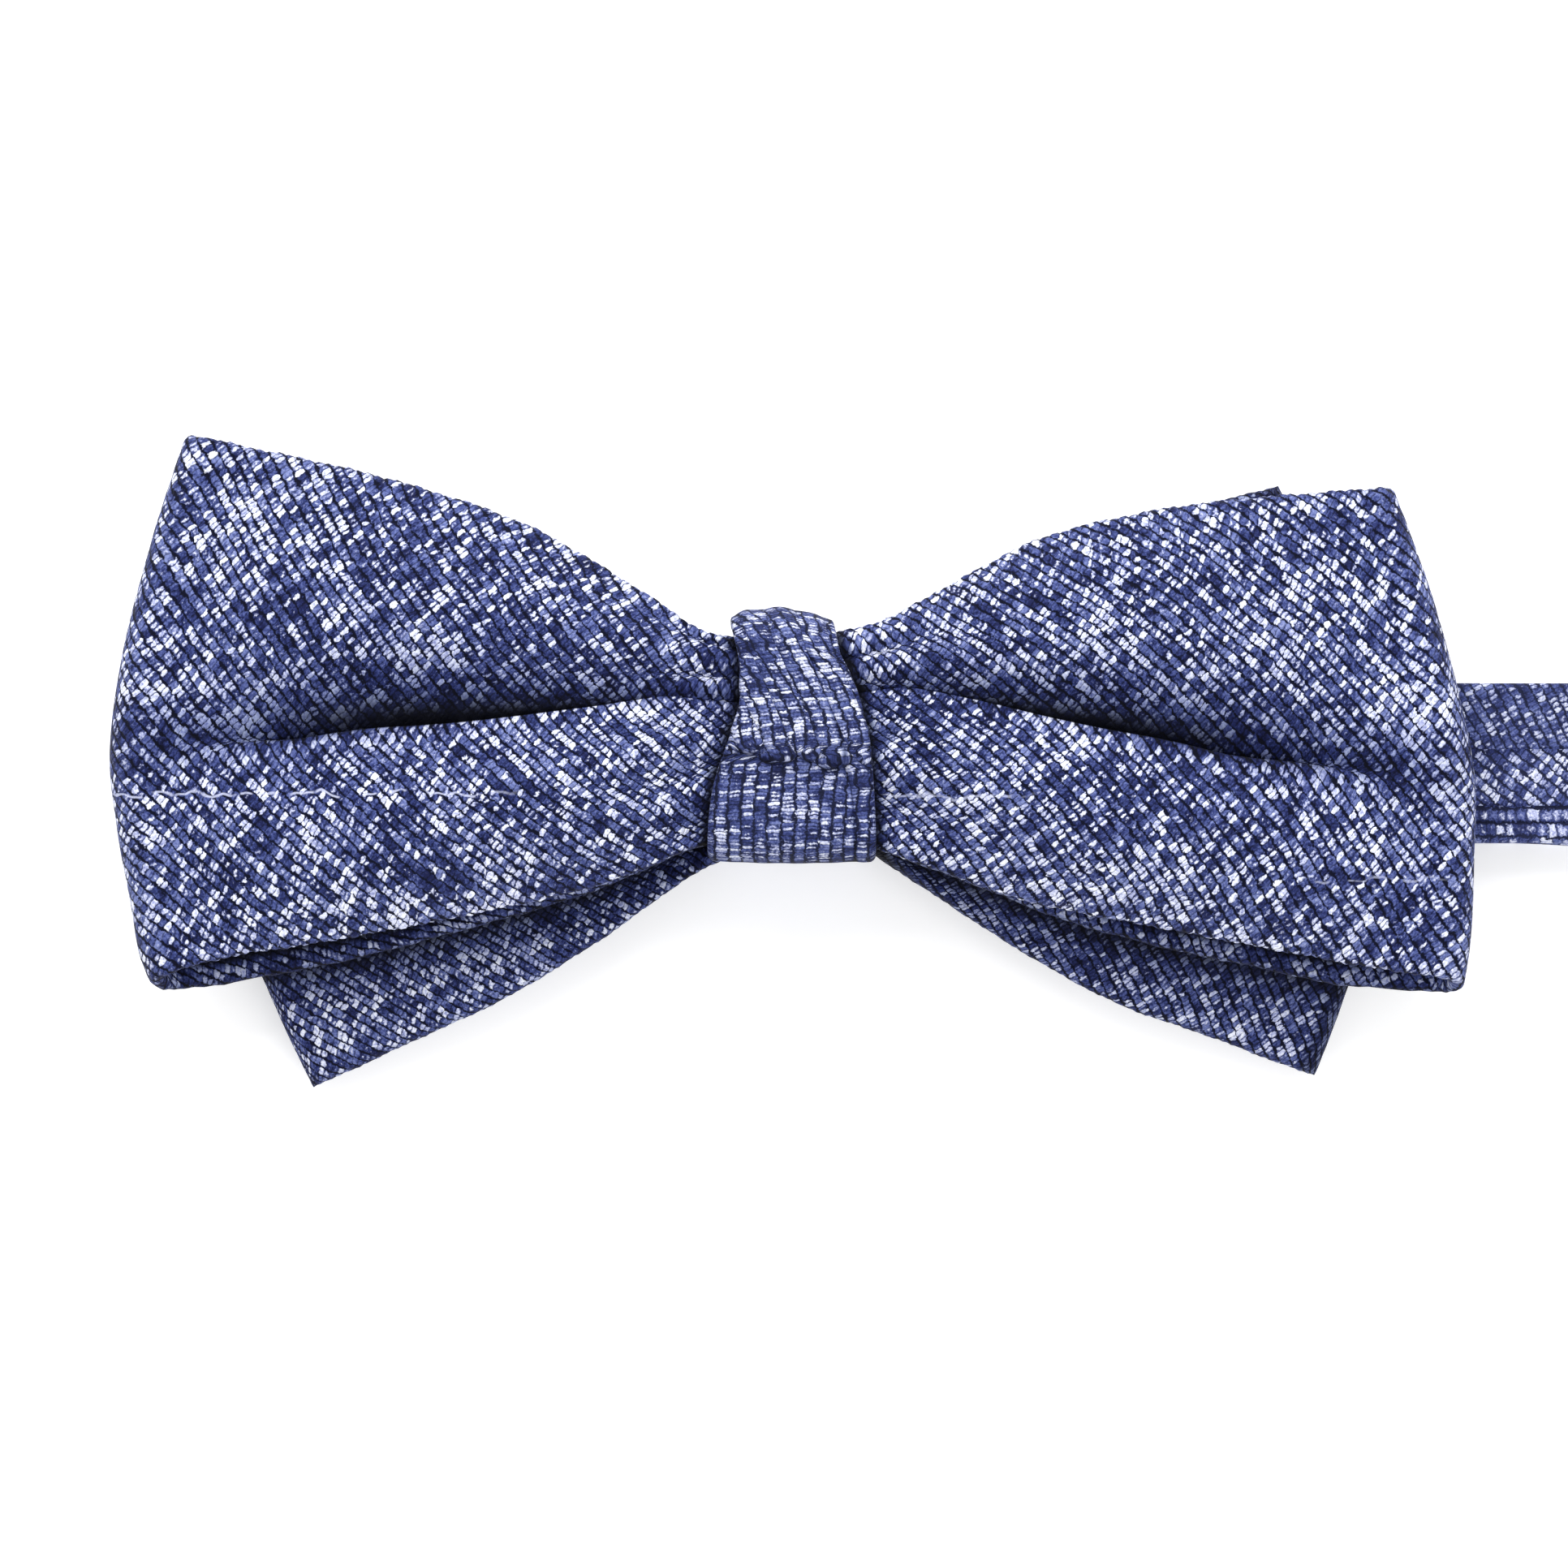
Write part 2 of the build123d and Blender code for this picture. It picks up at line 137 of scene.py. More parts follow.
# Slubbed cloth: ribs of navy and mid blue yarn, crossed by short pale dashes.
clothLook = dict(
    ribPitch=0.86,        # mm across one rib
    pickPitch=0.46,       # mm along a rib from one cross yarn to the next
    wander=1.5,           # how far the yarns stray over a few cm, in pitches
    flutter=0.65,         # how far they stray over a few mm
    fray=0.46,            # how uneven the dashes' edges are
    pale=0.56,            # share of pale dashes, higher is paler
    bump=0.14,            # mm
    gap=(5, 8, 30),
    ground=[(0.12, (20, 26, 68)), (0.38, (46, 56, 108)), (0.60, (80, 91, 146)), (0.88, (120, 131, 182))],
    dash=[(0.12, (96, 104, 156)), (0.40, (148, 155, 198)), (0.64, (198, 203, 231)),
          (0.90, (241, 244, 252))],
    dim=(0.30, 0.34, 0.50),  # what is left of the colour in painted half shade
    paintedShadowColour=(3, 4, 14),      # painted shadow colour that the deepest painted shade reaches
    middle=(86, 94, 138),  # colour that muted cloth leans to
    # stray pale yarns over the front: from x, to x and y in mm, and strength
    strays=[(-60, -24, -5.0, 0.75), (7, 21, -5.2, 0.5), (44, 58, -12.6, 0.4)],
    strayColour=(198, 203, 231),
    strayWidth=(0.04, 0.17),  # mm from its line where a yarn is full, and where it ends
    strayFront=(11.8, 12.4),  # mm, height above which the strays lie
)


def slubCloth(name, turn, seed, shade=0.0, ribs=1.0, picks=1.0, pale=0.0, muted=0.0, strays=()):
    # turn is the ribs' angle in degrees, ribs and picks widen the yarns, pale adds pale dashes, and shade
    # paints an even shade over the whole cloth
    look = clothLook
    finish = Finish(name)
    uv = finish.node("ShaderNodeUVMap", dict(uv_map="weave"))
    along = finish.node("ShaderNodeSeparateXYZ", None, {0: uv})
    across = Wire(finish, along.socket.node.outputs[1])

    def noise(scale, detail, rough, shift):
        # noise on the weave map, scale in lumps for each mm, at its own place for each seed and shift
        spot = finish.node(
            "ShaderNodeVectorMath", dict(operation="ADD"), {0: uv, 1: (shift + seed, seed * 3.1, 0)})
        return finish.node(
            "ShaderNodeTexNoise", dict(noise_dimensions="2D"),
            {"Vector": spot, "Scale": scale, "Detail": detail, "Roughness": rough})

    def cell(first, second):
        # one random value for each whole pair of numbers
        spot = finish.node("ShaderNodeCombineXYZ", None, {0: first, 1: second, 2: seed})
        return finish.node("ShaderNodeTexWhiteNoise", dict(noise_dimensions="3D"), {"Vector": spot})

    cosTurn, sinTurn = math.cos(math.radians(turn)), math.sin(math.radians(turn))
    flutter = (noise(1.5, 2.0, 0.6, 71.0) - 0.5) * look["flutter"]
    strayRib = (noise(0.07, 2.0, 0.5, 11.0) - 0.5) * look["wander"]
    strayPick = (noise(0.15, 3.0, 0.6, 47.0) - 0.5) * (look["wander"] * 1.3)
    rib = (along * cosTurn + across * sinTurn) / (look["ribPitch"] * ribs) + strayRib + flutter * 0.8
    pick = (across * cosTurn - along * sinTurn) / (look["pickPitch"] * picks) + strayPick + flutter
    ribIndex = rib.maths("FLOOR")
    ribPlace = rib.maths("FRACT")
    pickHere = pick + cell(ribIndex, 3.0) * 0.9
    pickIndex = pickHere.maths("FLOOR")
    pickPlace = pickHere.maths("FRACT")

    single = cell(ribIndex, pickIndex)
    double = cell(ribIndex + 0.5, (pickHere * 0.4).maths("FLOOR"))
    pickRun = cell((rib * 0.31).maths("FLOOR") + 0.25, pick.maths("FLOOR"))
    ribRun = cell(ribIndex + 0.75, (pickHere * 0.06).maths("FLOOR"))
    cloud = noise(0.14, 4.0, 0.6, 90.0)
    slub = noise(0.9, 3.0, 0.7, 130.0)
    fibre = noise(4.5, 3.0, 0.6, 7.0)

    ribRise = (ribPlace * math.pi).maths("SINE")
    pickRise = (pickPlace * math.pi).maths("SINE")
    blob = (ribRise ** 0.6) * (pickRise ** 0.5)
    chance = (single - 0.5) * 1.15 + (double - 0.5) * 0.35 + (ribRun - 0.5) * 0.2 + (cloud - 0.5) * 1.1
    spot = finish.between(blob + chance + (fibre - 0.5) * (look["fray"] * 2) + (slub - 0.5) * 0.8,
                          1.00 - look["pale"] * 0.5 - pale, 1.42 - look["pale"] * 0.5 - pale)
    groundTone = double * 0.38 + pickRun * 0.22 + ribRun * 0.2 + (slub - 0.5) * 0.9 + (cloud - 0.5) * 0.5
    ground = finish.ramp(groundTone + 0.10 + (fibre - 0.5) * 0.9, look["ground"])
    dashTone = pickRun * 0.22 + single * 0.42 + (fibre - 0.5) * 1.2 + (slub - 0.5) * 0.6 + 0.18
    dash = finish.ramp(dashTone, look["dash"])
    yarn = finish.mix(spot, ground, dash)
    cover = finish.between(ribRise + (fibre - 0.5) * 1.0 + (slub - 0.5) * 0.9 + spot * 0.12, 0.18, 0.60)
    crossRise = pickRise + (slub - 0.5) * 0.8 + (fibre - 0.5) * 0.5 + single * 0.25
    cross = finish.between(crossRise, 0.18, 0.60)
    cover = cover * (cross * 0.55 + 0.45)
    colour = finish.mix(cover, paint(*look["gap"]), yarn)
    colour = finish.mix(muted, colour, paint(*look["middle"]))
    if strays:
        colour = strayYarns(finish, colour, noise, strays)
    # painted shade: the points' shade attribute plus this cloth's even shade first dim the colour, then
    # darken it to the painted shadow colour
    deep = finish.node("ShaderNodeAttribute", dict(attribute_name="shade"), None, 2) * (1 - shade) + shade
    dimmed = finish.node("ShaderNodeVectorMath", dict(operation="MULTIPLY"), {0: colour, 1: look["dim"]})
    colour = finish.mix(finish.between(deep, 0.0, 0.55), colour, dimmed)
    colour = finish.mix(finish.between(deep, 0.35, 0.95), colour, paint(*look["paintedShadowColour"]))
    height = blob * 0.8 + spot * 0.35 + fibre * 0.2
    normal = finish.node("ShaderNodeBump", None,
                         {"Strength": 0.8, "Distance": look["bump"] * mm, "Height": height})
    rough = 0.80 - cover * 0.16
    return finish.surface(Base_Color=colour, Roughness=rough, Normal=normal, Sheen_Weight=0.03,
                          Sheen_Roughness=0.5, Specular_IOR_Level=0.10)


def strayYarns(finish, colour, noise, strays):
    # long pale yarns that lie along x on the front of the loops, with breaks
    place = finish.node("ShaderNodeTexCoord", None, None, 3)
    apart = finish.node("ShaderNodeSeparateXYZ", None, {0: place})
    x, y, z = [Wire(finish, apart.socket.node.outputs[index]) / mm for index in range(3)]
    wave = (noise(0.32, 2.0, 0.6, 170.0) - 0.5) * 1.6
    onFront = finish.between(z, *clothLook["strayFront"])
    whole = finish.between(noise(0.6, 2.0, 0.6, 190.0), 0.38, 0.5) * onFront
    for low, high, height, strength in strays:
        line = 1.0 - finish.between((y - height + wave).maths("ABSOLUTE"), *clothLook["strayWidth"])
        within = finish.between(x, low - 1, low + 1) * (1.0 - finish.between(x, high - 3, high + 1))
        colour = finish.mix(line * within * whole * strength, colour, paint(*clothLook["strayColour"]))
    return colour


threadLook = dict(
    stops=[(0.2, (16, 20, 52)), (0.55, (34, 42, 88)), (0.9, (74, 84, 136))],
    bump=0.05,            # mm
    rough=0.55,
)


def threadFinish():
    look = threadLook
    finish = Finish("navyThread")
    spot = finish.node("ShaderNodeTexCoord", None, None, 3)
    ply = finish.node("ShaderNodeTexWave", dict(bands_direction="DIAGONAL"),
                      {"Vector": spot, "Scale": 1500.0, "Distortion": 1.5, "Detail": 2.0})
    dust = finish.node("ShaderNodeTexNoise", None, {"Vector": spot, "Scale": 900.0, "Detail": 3.0})
    colour = finish.ramp(ply * 0.6 + dust * 0.4, look["stops"])
    normal = finish.node("ShaderNodeBump", None,
                         {"Strength": 0.7, "Distance": look["bump"] * mm, "Height": ply})
    return finish.surface(Base_Color=colour, Roughness=look["rough"], Normal=normal, Sheen_Weight=0.2)


# Satin metal, brushed along the strap, with dull patches.
metalLook = dict(
    colour=(126, 125, 123), scuffed=(88, 86, 83),
    rough=0.30,           # where it is neither brushed nor scuffed
    brush=(300.0, 2600.0, 2600.0),  # noise lumps for each metre along x, y and z
    bump=0.02,            # mm
)


def satinNickel():
    look = metalLook
    finish = Finish("satinNickel")
    spot = finish.node("ShaderNodeTexCoord", None, None, 3)
    stretched = finish.node("ShaderNodeMapping", None, {0: spot, 3: look["brush"]})
    brushed = finish.node("ShaderNodeTexNoise", None, {"Vector": stretched, "Scale": 1.0, "Detail": 4.0})
    cloud = finish.node("ShaderNodeTexNoise", None, {"Vector": spot, "Scale": 220.0, "Detail": 4.0})
    scuff = finish.between(cloud, 0.56, 0.74)
    colour = finish.mix(scuff * 0.5, paint(*look["colour"]), paint(*look["scuffed"]))
    rough = brushed * 0.18 + scuff * 0.14 + look["rough"]
    normal = finish.node("ShaderNodeBump", None,
                         {"Strength": 0.35, "Distance": look["bump"] * mm, "Height": brushed})
    return finish.surface(Base_Color=colour, Metallic=1.0, Roughness=rough, Normal=normal)


def curveThrough(points):
    # smooth function through (x, value) points
    xs, ys = np.array(points, float).T
    slopes = np.gradient(ys, xs)

    def value(x):
        x = np.clip(np.asarray(x, float), xs[0], xs[-1])
        i = np.clip(np.searchsorted(xs, x, side="right") - 1, 0, len(xs) - 2)
        step = xs[i + 1] - xs[i]
        f = (x - xs[i]) / step
        a = ys[i] * (1 + 2 * f) * (1 - f) ** 2 + ys[i + 1] * f * f * (3 - 2 * f)
        return a + slopes[i] * step * f * (1 - f) ** 2 + slopes[i + 1] * step * f * f * (f - 1)

    return value


def easing(x, low, high):
    f = np.clip((np.asarray(x, float) - low) / (high - low), 0, 1)
    return f * f * (3 - 2 * f)


rimAngles = (0, 22, 45, 68)  # degrees, steps round the edge of a cloth


def rimSpacing(count, rim, width):
    # positions from -1 to 1 with a half round edge of radius rim on a cloth of this half width
    angles = np.radians(rimAngles)
    edge = 1 - rim * (1 - np.cos(angles)) / width
    inner = np.linspace(edge[-1] - 0.01, -(edge[-1] - 0.01), count)
    places = np.concatenate([edge, inner, -edge[::-1]])[::-1]
    swell = np.concatenate([np.sin(angles), np.ones(count), np.sin(angles[::-1])])
    return places, swell


def arcAlong(points, axis):
    # running length of a grid of points along one of its directions
    steps = np.linalg.norm(np.diff(points, axis=axis), axis=2)
    start = np.zeros_like(np.take(steps, [0], axis=axis))
    return np.concatenate([start, np.cumsum(steps, axis=axis)], axis=axis)


def alongMiddle(points):
    # running length along the middle column, for every column
    columns = points.shape[1]
    return np.repeat(arcAlong(points, 0)[:, columns // 2][:, None], columns, axis=1)


def asPiece(name, mesh, materials):
    # an object for a mesh, without loose points and with its faces pointing outwards
    piece = bpy.data.objects.new(name, mesh)
    bpy.context.collection.objects.link(piece)
    for material in materials:
        mesh.materials.append(material)
    used = bmesh.new()
    used.from_mesh(mesh)
    loose = [v for v in used.verts if not v.link_faces]
    bmesh.ops.delete(used, geom=loose, context="VERTS")
    bmesh.ops.recalc_face_normals(used, faces=used.faces)
    used.to_mesh(mesh)
    used.free()
    mesh.polygons.foreach_set("use_smooth", [True] * len(mesh.polygons))
    return piece


def clothBody(name, middle, half, weaveOf, materials, shade, ring=False, columnSlot=None):
    # A closed cloth from its middle surface (rows, columns, 3) and half thickness, both in mm.
    # weaveOf is its weave map in mm, or a function that gives it from the outer surface.
    rows, columns = middle.shape[:2]
    if ring:
        along = np.roll(middle, -1, 0) - np.roll(middle, 1, 0)
    else:
        along = np.gradient(middle, axis=0)
    side = np.gradient(middle, axis=1)
    normal = np.cross(along, side)
    normal /= np.maximum(np.linalg.norm(normal, axis=2, keepdims=True), 1e-9)
    outer = middle + normal * half[..., None]
    inner = middle - normal * half[..., None]
    vertices = np.concatenate([outer.reshape(-1, 3), inner.reshape(-1, 3)]) * mm
    closed = np.concatenate([outer, outer[:1]]) if ring else outer
    front = weaveOf(closed) if callable(weaveOf) else weaveOf
    rimLow, rimHigh = front[:, :1, 1], front[:, -1:, 1]
    nearHigh = np.arange(columns)[None, :] >= columns / 2
    back = front.copy()
    back[..., 1] = np.where(nearHigh, 2 * rimHigh, 2 * rimLow) - front[..., 1]
    maps = (front, back)

    faces, corners, slots = [], [], []

    def addFace(spots, column):
        # from (row, column, layer) spots, where both layers share the points of the side edges
        face = []
        for r, c, layer in spots:
            shared = 0 if c in (0, columns - 1) else layer
            face.append((shared * rows + r % rows) * columns + c)
            corners.append(maps[layer][r, c])
        faces.append(face)
        slots.append(columnSlot[column] if columnSlot is not None else 0)

    for row in range(rows if ring else rows - 1):
        for column in range(columns - 1):
            square = [(row, column), (row + 1, column), (row + 1, column + 1), (row, column + 1)]
            addFace([spot + (0,) for spot in square], column)
            addFace([spot + (1,) for spot in square[::-1]], column)
    for row in () if ring else (0, rows - 1):
        for column in range(columns - 1):
            cap = [(row, column, 0), (row, column + 1, 0), (row, column + 1, 1), (row, column, 1)]
            if column == 0:
                cap = cap[:3]
            if column == columns - 2:
                cap = [cap[0], cap[1], cap[-1]]
            addFace(cap if row == 0 else cap[::-1], column)

    mesh = bpy.data.meshes.new(name)
    mesh.from_pydata([tuple(v) for v in vertices], [], faces)
    layer = mesh.uv_layers.new(name="weave")
    layer.data.foreach_set("uv", np.array(corners).ravel())
    mesh.polygons.foreach_set("material_index", slots)
    # painted shade for every point, which the cloth materials read
    paintedShadeLayer = mesh.attributes.new("shade", "FLOAT", "POINT")
    values = np.broadcast_to(shade, (2, rows, columns)).astype(np.float32)
    paintedShadeLayer.data.foreach_set("value", values.ravel())
    return asPiece(name, mesh, materials)


frontBow = dict(
    thick=1.5,            # mm through the folded band
    backHeight=9.95,      # mm, middle of the back layer
    foldRound=(1.9, 3.0),  # mm, radius of the end folds at the edges and in the middle
    crest=[(0, 13.1), (8, 13.6), (16, 16.6), (30, 18.0), (44, 17.2), (56, 15.9), (64, 15.9)],
    valley=[(0, 12.3), (8, 11.7), (16, 11.5), (34, 11.5), (42, 12.4), (50, 14.6), (57, 15.7),
            (64, 15.9)],
    edge=[(0, 12.6), (8, 12.6), (20, 13.2), (40, 13.6), (56, 13.7), (64, 13.7)],
    crestPlace=(0.46, 0.34),  # share of the way from the valley to the edge, upper and lower half
    wall=(0.16, 0.10),    # width of the steep side of the valley against that, upper and lower half
    steep=(0.45, 0.78),   # how much of the rise is in that side
    lip=1.7,              # mm that the lower half laps over the valley
    core=0.09,            # how far the valley's darkest painted shade reaches up the upper half, as a share of it
    shadow=0.27,          # how far its painted shade reaches
    pleat=0.34,           # mm, ripples where the cloth is gathered at the knot
    ripple=0.15,          # mm, unevenness of the edges, rib by rib
    fan=26.0,             # mm beyond the knot from which the weave fans out
    fanEven=62.0,         # mm from there to where the weave has its true width
    halfWidth=20.0,       # mm, mean half height of a loop
    columns=66, rows=(178, 12, 62),  # rows along the front, the end fold and the back
    knotShade=0.85, underShade=0.9, rimShade=0.35,  # painted shade beside the knot, under the edge, at the rims
)
# Edges as distances from the middle line, against the distance from it along x, in mm.
# The tip's reach is against the place from the lower edge, -1, to the upper, 1.
wingShapes = {
    -1: dict(
        top=[(0, 8.0), (8.3, 9.4), (14, 12.9), (22.6, 18.0), (34, 22.1), (45.5, 24.9),
             (53.3, 26.7), (62, 28.6)],
        low=[(0, 8.0), (8.3, 9.7), (17, 12.8), (26.9, 15.1), (40.9, 17.8), (50.8, 19.6),
             (55, 20.9), (62, 23.2)],
        lowBack=[(0, 8.0), (8.3, 9.7), (17, 13.4), (30, 17.4), (40, 19.9), (47.1, 21.2),
                 (51.6, 22.0), (62, 22.6)],
        valley=[(0, 2.6), (6, 2.9), (18, 1.3), (30, -0.1), (40, -0.6), (52, -1.0), (58, -1.6),
                (62, -1.9)],
        tip=[(-1.0, 56.4), (-0.88, 57.4), (-0.66, 58.2), (-0.33, 59.4), (0, 60.0), (0.25, 59.1), (0.6, 56.7),
             (1.0, 53.4)],
        deep=(9, 35, 50),  # mm from the knot: the valley and its painted shade are deepest to the second, gone by the third
    ),
    1: dict(
        top=[(0, 8.0), (8, 9.9), (14.6, 13.4), (20.3, 16.5), (31.8, 19.7), (43.2, 21.1),
             (52.9, 22.0), (62, 22.8)],
        low=[(0, 8.0), (8.9, 10.2), (21.4, 14.4), (31.6, 16.4), (43.8, 18.8), (51.1, 20.2),
             (57.9, 21.4), (62, 22.3)],
        lowBack=[(0, 8.0), (8.9, 10.4), (21.4, 15.2), (29.3, 17.8), (37.5, 19.6), (46.7, 21.6), (53.4, 22.4),
                 (62, 22.7)],
        valley=[(0, 3.2), (7.4, 3.6), (16, 2.0), (23, 0.3), (30, -1.1), (36, -1.9), (44.6, -2.7), (59, -5.1),
                (62, -5.6)],
        tip=[(-1.0, 59.2), (-0.8, 59.7), (-0.4, 60.0), (0, 59.9), (0.25, 58.6), (0.6, 56.3),
             (1.0, 52.9)],
        deep=(8, 30, 44),
    ),
}


def wobble(x, seed):
    # small repeatable unevenness along an edge, between about -1 and 1
    fine = 0.5 * np.sin(7.3 * x + seed)
    return fine + 0.3 * np.sin(3.1 * x + 2.7 * seed) + 0.35 * np.sin(1.17 * x + 4.1 * seed)


def wingLayer(side, places, swell, rows):
    # One loop of the front bow, from the front waist round the end fold to the back waist, in mm
    shape = {key: curveThrough(value) for key, value in wingShapes[side].items() if key != "deep"}
    bow = frontBow
    crest, valley, edge = (curveThrough(bow[key]) for key in ("crest", "valley", "edge"))
    t = places[None, :]
    tip = shape["tip"](t) - bow["thick"] / 2
    low, high = bow["foldRound"]
    foldR = low + (high - low) * (1 - np.abs(t) ** 1.6)
    start = tip - foldR
    frontRows, foldRows, backRows = rows
    run = np.linspace(0, 1, frontRows)[:, None]
    turn = np.linspace(0, math.pi, foldRows + 2)[1:-1, None]
    home = np.linspace(1, 0, backRows)[:, None]
    x = np.concatenate([run * start, start + foldR * np.sin(turn), home * start])
    backShare = np.concatenate([
        0 * run * t, easing(turn, 0.6, 2.5) + 0 * t, 1 + 0 * home * t])

    reach = np.abs(t) + 0 * x
    place, wallWidth, steep = (np.where(t > 0, *bow[key]) for key in ("crestPlace", "wall", "steep"))
    share = np.clip(reach / place, 0, 1)
    wall = 1 - np.exp(-share / wallWidth)
    rise = steep * wall / (1 - math.exp(-6)) + (1 - steep) * np.sin(share * math.pi / 2)
    fall = np.cos(np.clip((reach - place) / (1 - place), 0, 1) * math.pi / 2) ** 0.8
    top, floor, brim = crest(x), valley(x), edge(x)
    lobe = np.where(reach < place, floor + (top - floor) * rise, brim + (top - brim) * fall)
    gather = np.exp(-np.clip(x - 7, 0, None) / 8.0) * easing(reach, 0.10, 0.3)
    lobe = lobe + bow["pleat"] * gather * np.sin(t * 15 + 1.7 * side + 0.06 * x)
    backZ = bow["backHeight"]
    joinZ = backZ + 2 * foldR
    nearFold = easing(x, start - 9, start)
    frontZ = lobe * (1 - nearFold) + joinZ * nearFold
    z = np.where(backShare > 0.999, backZ, frontZ)
    foldZ = backZ + foldR + foldR * np.cos(turn)
    z[frontRows:frontRows + foldRows] = foldZ

    upperY = shape["top"](x) + bow["ripple"] * wobble(x, 1.0 + side)
    lowerY = shape["low"](x) * (1 - backShare) + shape["lowBack"](x) * backShare
    lowerY = lowerY + bow["ripple"] * wobble(x, 4.0 + side + 3 * (backShare > 0.5))
    creaseY = shape["valley"](x) * (1 - backShare)
    y = np.where(t > 0, creaseY + t * (upperY - creaseY), creaseY + t * (lowerY + creaseY))
    fromKnot = np.concatenate([run * start, start + foldR * turn, start * (2 - home) + math.pi * foldR])
    first, full, gone = wingShapes[side]["deep"]
    valleyShare = easing(x, first - 5, first + 3) * (1 - easing(x, full, gone)) * (1 - backShare)
    lip = np.exp(-((t + 0.07) / 0.06) ** 2) - 0.55 * np.exp(-((t - 0.02) / 0.05) ** 2)
    y = y + valleyShare * bow["lip"] * lip
    points = np.stack([side * x, y, z], axis=2)
    extra = edgeExtra(places, swell, bow["thick"] / 2, bow["halfWidth"])
    weave = fanWeave(side, fromKnot, y + extra[None, :])
    return points, weave, wingShade(side, t, x, y, valleyShare, backShare)


def wingShade(side, t, x, y, valleyShare, backShare):
    # painted shade on a loop: in its valley, along its crease, beside the knot, on the back layer under the
    # front one, and at its rims
    bow = frontBow
    first, full, gone = wingShapes[side]["deep"]
    front = 1 - backShare
    paintedValleyShade = easing(x, first - 5, first + 3) * (1 - easing(x, full - 4, gone + 8)) * front
    up = np.clip(t - 0.10, 0, None)
    above = 0.38 * np.exp(-(up / bow["core"]) ** 1.5) + 0.58 * np.exp(-(up / bow["shadow"]) ** 1.5)
    shade = paintedValleyShade ** 0.7 * above * easing(t, -0.03, 0.02)
    soft = 0.5 * easing(x, full - 10, full + 4) * (1 - 0.5 * easing(x, 52, 59)) * front
    shade = np.maximum(shade, soft * np.exp(-((t - 0.04) / 0.16) ** 2))
    shade = shade + 0.2 * valleyShare * np.exp(-((t + 0.02) / 0.05) ** 2)
    knotEdge = side * curveThrough(knotShape["left" if side < 0 else "right"])(y)
    shade = shade + bow["knotShade"] * (1 - easing(x - knotEdge, 0.1, 1.7)) * front
    belowFront = backShare * easing(-t, 0.6, 0.82) * (1 - 0.68 * easing(-t, 0.895, 0.955))
    shade = shade + bow["underShade"] * belowFront + bow["rimShade"] * easing(np.abs(t), 0.965, 1.0)
    return np.clip(shade, 0, 1)


def fanWeave(side, reach, across):
    # weave map that fans out from behind the knot, from distances in mm from knot and middle line
    away = reach + frontBow["fan"]
    radius = np.sqrt(away ** 2 + across ** 2)
    return np.stack([side * radius, across * np.sqrt(frontBow["fanEven"] / radius)], axis=2)


def edgeExtra(places, swell, rim, width):
    # how much further round the half round edges is than straight across, column by column
    steps = np.hypot(np.diff(places * width), np.diff(swell * rim))
    run = np.concatenate([[0], np.cumsum(steps)])
    return (run - run[-1] / 2) - places * width


def bothWings(bow, wing):
    # radius of a bow's edge, fullness of its columns, and the grids of its two wings joined at the waist
    rim = bow["thick"] / 2
    places, swell = rimSpacing(bow["columns"], rim, bow["halfWidth"])
    wings = zip(*(wing(side, places, swell, bow["rows"]) for side in (-1, 1)))
    return [rim, swell] + [np.concatenate([left[::-1], right[1:]]) for left, right in wings]


def makeFrontBow(material):
    rim, swell, points, weave, shade = bothWings(frontBow, wingLayer)
    half = np.broadcast_to(swell[None, :] * rim, points.shape[:2])
    cloth = clothBody("frontBowCloth", points, half, weave, [material], shade)
    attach(cloth, "bow")
    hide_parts("front_bow_fabric", "front_bow_interlining")
    print("front bow", len(cloth.data.polygons))


backBow = dict(
    thick=2.1,            # mm through the folded bow
    crown=8.75,           # mm, top of its arch over the neckband
    arch=190.0,           # the arch falls by y squared over this
    waistHeight=6.42,     # mm, middle of the gathered waist
    pleat=0.28,           # mm, ripples beside the knot
    turnedEnd=1.9,        # mm of darker fold along the right tip
    ripple=0.09,          # mm, unevenness of the edges
    halfWidth=22.0,       # mm, mean half height
    columns=62, rows=120,
)
tailShapes = {
    -1: dict(
        top=[(0, 8.4), (11, 9.6), (20, 13.2), (34, 16.8), (47, 19.5), (55, 21)],
        low=[(0, 8.4), (8.3, 11.9), (16.9, 17.9), (25.5, 23.2), (34, 27.2), (42.2, 31.0), (55, 36)],
        tip=[(-1.0, 42.9), (-0.70, 46.6), (-0.30, 51.0), (0.2, 50.2), (1.0, 47.0)],
    ),
    1: dict(
        top=[(0, 8.4), (12, 9.3), (22, 15.2), (30, 18.5), (43.2, 22.4), (55, 25)],
        low=[(0, 8.4), (6, 9.6), (11.7, 13.4), (20.3, 19.0), (28.9, 23.7), (37.5, 26.8),
             (46, 30.0), (55, 32.6)],
        tip=[(-1.0, 46.8), (-0.78, 49.0), (-0.33, 52.4), (0.2, 51.0), (1.0, 43.4)],
    ),
}


